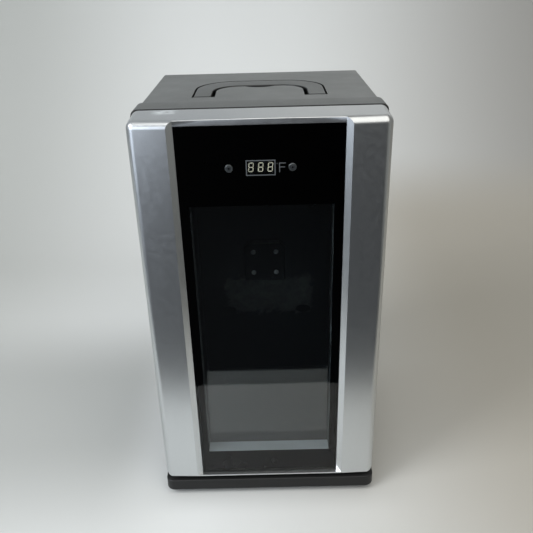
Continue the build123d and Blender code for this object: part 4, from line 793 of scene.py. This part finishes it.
@dataclass
class ScrewSet:
    """Pan-head screws with a cross recess, all facing one level way."""

    name: str
    body: Body
    places: list[Triple]
    facing: Triple
    head_radius: float
    head_height: float
    replaced: str
    finish: WorkedMetal = ZINC_STEEL

    def tree(self) -> NodeTree:
        """Builds the tree that sets one recessed head on every point.

        Returns:
            The geometry tree.
        """
        known = bpy.data.node_groups.get(SCREW_TREE)
        if known:
            return known
        tree, given = start_tree(SCREW_TREE, {
            "Head Radius": self.head_radius * MM, "Head Height": self.head_height * MM,
            "Tilt": 0.0, "Turn": 0.0,
        })
        size = {
            name: add(tree, "ShaderNodeMath", {0: given.outputs[whole], 1: share}, operation="MULTIPLY")
            for name, whole, share in HEAD_SHARES
        }
        radius, height = given.outputs["Head Radius"], given.outputs["Head Height"]
        rim = add(
            tree, "GeometryNodeMeshCylinder",
            {"Vertices": HEAD_SIDES, "Radius": radius, "Depth": size["half"]},
        )
        dome = add(tree, "GeometryNodeMeshCone", {
            "Vertices": HEAD_SIDES, "Radius Top": size["crown"], "Radius Bottom": radius,
            "Depth": size["half"],
        })
        both = add(tree, "GeometryNodeJoinGeometry")
        for solid, inner, lift in ((rim, "Top", size["quarter"]), (dome, "Bottom", size["half"])):
            opened = add(
                tree, "GeometryNodeDeleteGeometry",
                {"Geometry": solid, "Selection": solid.outputs[inner]}, domain="FACE",
            )
            offset = add(tree, "ShaderNodeCombineXYZ", {"Z": lift})
            raised = add(tree, "GeometryNodeTransform", {"Geometry": opened, "Translation": offset})
            tree.links.new(raised.outputs[0], both.inputs[0])
        head = add(tree, "GeometryNodeMergeByDistance", {"Geometry": both, "Distance": MERGE_DISTANCE})
        cut = add(tree, "GeometryNodeMeshBoolean", {"Mesh 1": head}, operation="DIFFERENCE")
        top = add(tree, "ShaderNodeCombineXYZ", {"Z": height})
        for wide, deep in ((size["long"], size["thin"]), (size["thin"], size["long"])):
            block = add(tree, "ShaderNodeCombineXYZ", {"X": wide, "Y": deep, "Z": height})
            bar = add(tree, "GeometryNodeMeshCube", {"Size": block})
            raised = add(tree, "GeometryNodeTransform", {"Geometry": bar, "Translation": top})
            tree.links.new(raised.outputs[0], cut.inputs["Mesh 2"])
        turn = add(tree, "ShaderNodeCombineXYZ", {"X": given.outputs["Tilt"], "Z": given.outputs["Turn"]})
        spread = add(
            tree, "FunctionNodeRandomValue", {2: 0.0, 3: math.pi, "Seed": SPIN_SEED}, data_type="FLOAT",
        )
        spin = add(tree, "ShaderNodeCombineXYZ", {"Z": spread.outputs[1]})
        placed = add(tree, "GeometryNodeInstanceOnPoints", {
            "Points": given.outputs["Geometry"], "Instance": cut, "Rotation": turn,
        })
        faced = add(
            tree, "GeometryNodeRotateInstances",
            {"Instances": placed, "Rotation": spin, "Local Space": True},
        )
        end_tree(tree, given, faced)
        return tree

    def build(self) -> None:
        """Makes the screws and stands them for their CAD node."""
        aim = Vector(self.facing).normalized()
        tilt, turn = math.acos(aim.z), math.atan2(aim.x, -aim.y)
        points = bpy.data.meshes.new("places")
        points.from_pydata([tuple(v * MM for v in place) for place in self.places], [], [])
        mesh = run_tree(self.tree(), points, {
            "Head Radius": self.head_radius * MM, "Head Height": self.head_height * MM,
            "Tilt": tilt, "Turn": turn, "Finish": self.finish.material(),
        })
        finished(self.name, smooth(mesh), self.body, self.finish, (self.replaced,))


# Sub-assemblies


@dataclass
class Cabinet:
    """The charcoal shell, its liner, base, rear and cooling unit."""

    liner_rear: float = 59.0
    cold_plate: float = 8.0
    cold_z: float = 226.0
    cold_pitch: float = 30.0
    cold_head: Pair = (3.2, 2.0)
    shell_rear: float = 132.0
    rear_head: Pair = (3.2, 1.8)
    rear_x: float = 112.0
    rear_z: Triple = (34.5, 233.25, 432.0)

    def skins(self) -> None:
        """Dresses the outer shell, the liner, the base and the rear."""
        for finish, nodes in (
            (CHARCOAL_ABS, ("side_wrap", "top_panel")),
            (RIM_ABS, ("front_rim",)),
            (LINER_HIPS, ("inner_liner",)),
            (BLACK_ABS, ("base_tray", "temperature_sensor", "liner_plugs")),
            (PLATE_ABS, ("cold_plate",)),
            (BLACK_ABS, ("rear_panel", "power_inlet", "fan_frame")),
            (RUBBER, ("rubber_feet",)),
        ):
            refine(nodes, Body.CABINET, finish)

    def inside(self) -> None:
        """Dresses the pieces that the shell hides."""
        for finish, nodes in (
            (BLACK_ABS, ("rear_bulkhead",)),
            (FOAM, ("foam_insulation",)),
            (RUBBER, ("module_seal",)),
            (EXTRUDED_ALUMINIUM, ("cold_block", "hot_heatsink")),
            (ALUMINA, ("peltier_module",)),
            (LAMINATE, ("power_board",)),
            (SMOKED_FACE, ("power_components",)),
            (BRASS_PIN, ("inlet_pins",)),
            (ZINC_STEEL, ("clamp_screws", "fan_screws", "handle_pins", "foot_screws")),
        ):
            dress(nodes, finish)

    def hinges(self) -> None:
        """Dresses the hinge bracket, pins and washer."""
        steel = ("hinge_bracket", "hinge_screws", "upper_hinge_pin", "lower_hinge_pin")
        refine(steel, Body.CABINET, ZINC_STEEL)
        refine(("hinge_washer",), Body.CABINET, NYLON)

    def screws(self) -> None:
        """Sets recessed screw heads on the cold plate and the rear panel."""
        half = self.cold_pitch / 2
        seat = self.liner_rear - self.cold_plate
        cold = [(i * half, seat, self.cold_z + j * half) for i in (-1, 1) for j in (-1, 1)]
        ScrewSet(
            "cold_plate_screw_heads", Body.CABINET, cold, (0, -1, 0), *self.cold_head, "cold_plate_screws",
            ZINC_PAINTED_LIGHT,
        ).build()
        rear = [(side * self.rear_x, self.shell_rear, z) for side in (-1, 1) for z in self.rear_z]
        ScrewSet(
            "rear_panel_screw_heads", Body.CABINET, rear, (0, 1, 0), *self.rear_head, "rear_panel_screws",
        ).build()

    def build(self) -> None:
        """Builds the whole cabinet."""
        self.skins()
        self.inside()
        self.hinges()
        self.screws()


@dataclass
class CarryHandle:
    """The folding handle in the top."""

    finish: MouldedPlastic = HANDLE_ABS

    def build(self) -> None:
        """Dresses the handle."""
        refine(("handle",), Body.HANDLE, self.finish)


@dataclass
class CoolingFan:
    """The rear fan's rotor."""

    finish: MouldedPlastic = BLACK_ABS

    def build(self) -> None:
        """Dresses the rotor."""
        refine(("fan_rotor",), Body.FAN, self.finish)


@dataclass
class Door:
    """The silver door: frame, panes, spacer, seal and rear cover."""

    screw_x: float = 106.0
    screw_z: Triple = (134.0, 244.0, 354.0)
    screw_head: Pair = (3.0, 1.0)
    back: float = -92.0

    def build(self) -> None:
        """Dresses the door's pieces and sets its screws."""
        refine(("door_shell",), Body.DOOR, SILVER_PAINT)
        dress(("front_glass",), CLEAR_GLASS)
        dress(("inner_glass",), TINTED_GLASS)
        dress(("black_border",), BLACK_PRINT)
        dress(("glass_spacer",), SPACER_BAR)
        refine(("inner_door_frame",), Body.DOOR, BLACK_ABS)
        refine(("door_seal",), Body.DOOR, RUBBER)
        dress(("seal_magnets",), MAGNET)
        refine(("upper_hinge_bush", "lower_hinge_bush"), Body.DOOR, NYLON)
        places = [(side * self.screw_x, self.back, z) for side in (-1, 1) for z in self.screw_z]
        ScrewSet(
            "door_frame_screw_heads", Body.DOOR, places, (0, 1, 0), *self.screw_head, "frame_screws",
        ).build()


@dataclass
class ControlPanel:
    """The display behind the glass, its printed outline and the two push buttons."""

    glass_front: float = -128.0
    glass_rear: float = -125.0
    center_z: float = 411.0
    width: float = 28.4
    height: float = 15.4
    line: float = 1.0
    ink: float = 0.05
    digit_height: float = 9.4
    digit_width: float = 4.2
    digit_seat: float = 0.05
    digit_thick: float = 0.2
    count: int = 3
    stroke: float = 1.0
    segment_gap: float = 0.12
    pitch: float = 9.3
    slant: float = 0.09
    unit_x: float = 17.6
    unit_height: float = 9.3
    unit_width: float = 6.4
    unit_line: float = 0.8
    unit_arm: float = 0.86
    degree: float = 0.4
    degree_sides: int = 12
    degree_gap: float = 2.0

    def segments(self) -> list[list[Pair]]:
        """Draws the seven segments of one digit about its centre.

        Returns:
            Seven outlines in x and z.
        """
        half, tall, arm = self.digit_width / 2, self.digit_height / 2, self.stroke / 2
        gap = self.segment_gap
        outlines = []
        for z in (-tall + arm, 0.0, tall - arm):
            left, right = -half + gap, half - gap
            outlines.append([
                (left, z), (left + arm, z - arm), (right - arm, z - arm),
                (right, z), (right - arm, z + arm), (left + arm, z + arm),
            ])
        for x in (-half, half):
            for low, high in ((-tall + arm + gap, -gap), (gap, tall - arm - gap)):
                outlines.append([
                    (x, low), (x + arm, low + arm), (x + arm, high - arm),
                    (x, high), (x - arm, high - arm), (x - arm, low + arm),
                ])
        return [[(x + z * self.slant, z) for x, z in outline] for outline in outlines]

    def digits(self) -> None:
        """Repeats one digit along the display with a geometry tree."""
        digit = flat_plates(self.segments(), self.glass_rear + self.digit_seat, self.digit_thick)
        tree, given = start_tree("digit_row", {"Pitch": self.pitch * MM, "First X": 0.0, "Middle Z": 0.0})
        step = add(tree, "ShaderNodeCombineXYZ", {"X": given.outputs["Pitch"]})
        first = add(
            tree, "ShaderNodeCombineXYZ", {"X": given.outputs["First X"], "Z": given.outputs["Middle Z"]},
        )
        row = add(
            tree, "GeometryNodeMeshLine", {"Count": self.count, "Start Location": first, "Offset": step},
        )
        placed = add(
            tree, "GeometryNodeInstanceOnPoints",
            {"Points": row, "Instance": given.outputs["Geometry"]},
        )
        end_tree(tree, given, placed)
        mesh = run_tree(tree, digit, {
            "Pitch": self.pitch * MM, "First X": -self.pitch * (self.count - 1) / 2 * MM,
            "Middle Z": self.center_z * MM, "Finish": SEGMENT_RESIN.material(),
        })
        finished("display_digits", mesh, Body.DOOR, SEGMENT_RESIN)

    def printing(self) -> None:
        """Draws the grey outline round the display."""
        half, line = self.width / 2, self.line
        low, high = self.center_z - self.height / 2, self.center_z + self.height / 2
        bars = [
            (-half, half, high - line, high), (-half, half, low, low + line),
            (-half, -half + line, low + line, high - line), (half - line, half, low + line, high - line),
        ]
        mesh = flat_plates([box_outline(*bar) for bar in bars], self.glass_front - self.ink, self.ink)
        finished("display_outline", mesh, Body.DOOR, GREY_INK)

    def unit(self) -> None:
        """Draws the unit's letter and degree mark beside the display."""
        z, left, thin = self.center_z, self.unit_x, self.unit_line
        low, high = z - self.unit_height / 2, z + self.unit_height / 2
        bars = [
            (left, left + thin, low, high), (left + thin, left + self.unit_width, high - thin, high),
            (left + thin, left + self.unit_width * self.unit_arm, z, z + thin),
        ]
        outlines = [box_outline(*bar) for bar in bars]
        turns = [k * math.tau / self.degree_sides for k in range(self.degree_sides)]
        across, up = left - self.degree_gap, high - thin
        outlines.append([
            (across + self.degree * math.cos(turn), up + self.degree * math.sin(turn)) for turn in turns
        ])
        mesh = flat_plates(outlines, self.glass_front - self.ink, self.ink)
        finished("display_unit", mesh, Body.DOOR, THIN_INK)

    def build(self) -> None:
        """Builds the panel's pieces."""
        dress(("display_module",), SMOKED_FACE)
        dress(("display_board",), LAMINATE)
        dress(("button_switches",), BLACK_ABS)
        refine(("button_bezels",), Body.DOOR, RING_CHROME)
        refine(("button_left",), Body.BUTTON_LEFT, BUTTON_ABS)
        refine(("button_right",), Body.BUTTON_RIGHT, BUTTON_ABS)
        self.digits()
        self.printing()
        self.unit()


@dataclass
class Lamp:
    """One soft area lamp that points at a place."""

    name: str
    place: Triple
    target: Triple
    size: Pair
    watts: float
    color: str

    def build(self) -> None:
        """Makes the lamp."""
        data = bpy.data.lights.new(self.name, "AREA")
        data.shape = "RECTANGLE"
        data.size, data.size_y = self.size
        data.energy = self.watts
        data.color = srgb(self.color)[:3]
        lamp = bpy.data.objects.new(self.name, data)
        lamp.location = self.place
        aim = Vector(self.target) - Vector(self.place)
        lamp.rotation_euler = aim.to_track_quat("-Z", "Y").to_euler()
        lamp.visible_camera = False
        bpy.context.scene.collection.objects.link(lamp)
        LOG.info("%s: %.0f W", self.name, self.watts)


@dataclass
class Studio:
    """The pale sweep, the soft lamps, the world and the camera."""

    paper: str = "#dee0de"
    paper_left: str = "#b7b9b5"
    floor_right: str = "#b1ada3"
    wall_right: str = "#a7a6a2"
    shade: str = "#b0b2af"
    foot_shade: str = "#caccca"
    upper_left: str = "#bec0c1"
    upper_right: str = "#e2e2e0"
    paper_roughness: float = 0.75
    paper_specular: float = 0.2
    room_left: str = "#3a3c3f"
    room_ahead: str = "#151617"
    room_under: str = "#23272b"
    room_sides: tuple[tuple[str, float, float], ...] = (("#8a8b88", 0.45, 0.8), ("#73787c", -0.5, -0.8))
    sky_left: str = "#b4b9be"
    sky_right: str = "#7d7b77"
    seen_room: str = "#c2c3c0"
    front_edge: float = -0.340
    wall: float = 1.1
    bend: float = 0.6
    bend_steps: int = 24
    half_width: float = 3.0
    height: float = 2.4
    camera_mm: Triple = (6.25, -712.65, 593.03)
    pitch_deg: float = 26.136
    yaw_deg: float = -0.316
    roll_deg: float = 1.537
    focal_px: float = 635.0
    image_px: float = 533.0
    sensor_mm: float = 36.0
    near_clip: float = 0.01
    lamps: list[Lamp] = field(default_factory=lambda: [
        Lamp("left_softbox", (-1.45, -1.5, 0.78), (0.0, -0.13, 0.3), (1.25, 1.6), 15.0, "#e6f0ff"),
        Lamp("front_left_window", (-0.75, -2.2, 0.8), (0.0, -0.13, 0.25), (0.7, 1.3), 4.9, "#eaf2ff"),
        Lamp("key", (-1.45, -0.9, 1.6), (0.0, 0.0, 0.2), (0.9, 0.9), 24.0, "#fbfcff"),
        Lamp("ceiling", (0.7, -1.4, 2.1), (0.2, -0.5, 0.0), (2.2, 3.2), 33.0, "#fffcf6"),
    ])

    def sweep(self) -> None:
        """Builds the pale floor that bends up into a wall behind the object."""
        start = self.wall - self.bend
        profile = [(self.front_edge, 0.0), (start, 0.0)]
        for step in range(1, self.bend_steps + 1):
            turn = math.pi / 2 * step / self.bend_steps
            profile.append((start + self.bend * math.sin(turn), self.bend - self.bend * math.cos(turn)))
        profile.append((self.wall, self.height))
        verts = [(side * self.half_width, y, z) for side in (-1, 1) for y, z in profile]
        count = len(profile)
        faces = [(k, k + count, k + count + 1, k + 1) for k in range(count - 1)]
        mesh = bpy.data.meshes.new("paper_sweep")
        mesh.from_pydata(verts, [], faces)
        smooth(mesh, SOFT_ANGLE)
        mesh.materials.append(self.paper_finish())
        floor = bpy.data.objects.new("paper_sweep", mesh)
        bpy.context.scene.collection.objects.link(floor)

    def paper_finish(self) -> Material:
        """Makes the matt paper of the sweep, with the room's uneven light and the object's shadows painted
        into its colour.

        Returns:
            The material.
        """
        material = bpy.data.materials.new("matt_backdrop_paper")
        material.use_nodes = True
        tree = material.node_tree
        tree.nodes.clear()
        place = add(tree, "ShaderNodeTexCoord").outputs["Object"]
        axes = add(tree, "ShaderNodeSeparateXYZ", {"Vector": place})
        x, y, z = (axes.outputs[axis] for axis in "XYZ")
        # Each edge is a span in metres along one axis.
        soft = partial(edge_mask, tree, curve="SMOOTHSTEP")
        # Painted light and shade: the paper darkens to the left, and on the floor and wall to the right;
        # beside is the object's painted shadow on the floor to its left, foot the painted shade in front of
        # its base; the wall above the frame, seen only in reflections, is painted darker on the left and
        # brighter on the right.
        left = soft((x, -0.1, -0.7))
        beside = soft((y, -0.28, -0.03), (y, 0.32, 0.1), (x, -0.06, -0.22))
        foot = soft((y, -0.17, -0.13), (y, 0.3, 0.1), (x, -0.2, -0.1), (x, 0.2, 0.1))
        sheet = layered(
            tree, self.paper, (left, self.paper_left), (beside, self.shade), (foot, self.foot_shade),
        )
        floor = layered(tree, sheet, (soft((x, -0.1, 0.4)), self.floor_right))
        wall = layered(tree, sheet, (soft((x, 0.05, 0.8)), self.wall_right))
        upper = layered(tree, self.upper_left, (soft((x, -0.3, 0.3)), self.upper_right))
        color = layered(tree, floor, (soft((z, 0.02, 0.14)), wall), (soft((z, 0.5, 0.62)), upper))
        shader = add(tree, "ShaderNodeBsdfPrincipled", {
            "Base Color": color, "Roughness": self.paper_roughness, "Specular IOR Level": self.paper_specular,
        })
        add(tree, "ShaderNodeOutputMaterial", {"Surface": shader})
        return material

    def world(self) -> None:
        """Makes a dim room for light and reflections, and a pale one for the camera."""
        world = bpy.data.worlds.new("studio_room")
        bpy.context.scene.world = world
        world.use_nodes = True
        tree = world.node_tree
        tree.nodes.clear()
        way = add(tree, "ShaderNodeTexCoord").outputs["Generated"]
        axes = add(tree, "ShaderNodeSeparateXYZ", {"Vector": way})
        x, z = axes.outputs["X"], axes.outputs["Z"]
        # Each edge is a span of the direction's own x or z, from -1 to 1.
        soft = partial(edge_mask, tree, curve="SMOOTHSTEP")
        across = soft((x, -0.5, 0.35))
        ahead = layered(tree, self.room_ahead, (soft((z, -0.35, -0.55)), self.room_under))
        sides = [(soft((x, start, end), (z, -0.44, -0.28)), tone) for tone, start, end in self.room_sides]
        low = layered(tree, self.room_left, (across, ahead), *sides)
        high = layered(tree, self.sky_left, (across, self.sky_right))
        rise = edge_mask(tree, (z, -0.1, 0.5))
        path = add(tree, "ShaderNodeLightPath")
        color = layered(tree, low, (rise, high), (path.outputs["Is Camera Ray"], self.seen_room))
        light = add(tree, "ShaderNodeBackground", {"Color": color, "Strength": 1.0})
        add(tree, "ShaderNodeOutputWorld", {"Surface": light})

    def camera(self) -> None:
        """Sets the camera where the photograph was taken from."""
        pitch, yaw, roll = (math.radians(a) for a in (self.pitch_deg, self.yaw_deg, self.roll_deg))
        ahead = Vector((math.sin(yaw) * math.cos(pitch), math.cos(yaw) * math.cos(pitch), -math.sin(pitch)))
        level = ahead.cross(Vector((0, 0, 1))).normalized()
        upright = level.cross(ahead)
        right = level * math.cos(roll) - upright * math.sin(roll)
        up = right.cross(ahead)
        turn = Matrix((right, up, -ahead)).transposed().to_4x4()
        data = bpy.data.cameras.new("camera")
        data.sensor_width = self.sensor_mm
        data.lens = self.focal_px * self.sensor_mm / self.image_px
        data.clip_start = self.near_clip
        camera = bpy.data.objects.new("camera", data)
        camera.matrix_world = Matrix.Translation(Vector(self.camera_mm) * MM) @ turn
        bpy.context.scene.collection.objects.link(camera)
        bpy.context.scene.camera = camera

    def build(self) -> None:
        """Builds the set."""
        self.sweep()
        self.world()
        self.camera()
        for lamp in self.lamps:
            lamp.build()
        bpy.context.scene.view_settings.view_transform = "Standard"


def main() -> None:
    """Builds every sub-assembly and the studio."""
    logging.basicConfig(level=logging.INFO, format="%(message)s")
    Studio().build()
    for part in (Cabinet(), CarryHandle(), CoolingFan(), Door(), ControlPanel()):
        part.build()
        LOG.info("%s is done", type(part).__name__)


if __name__ == "__main__":
    main()
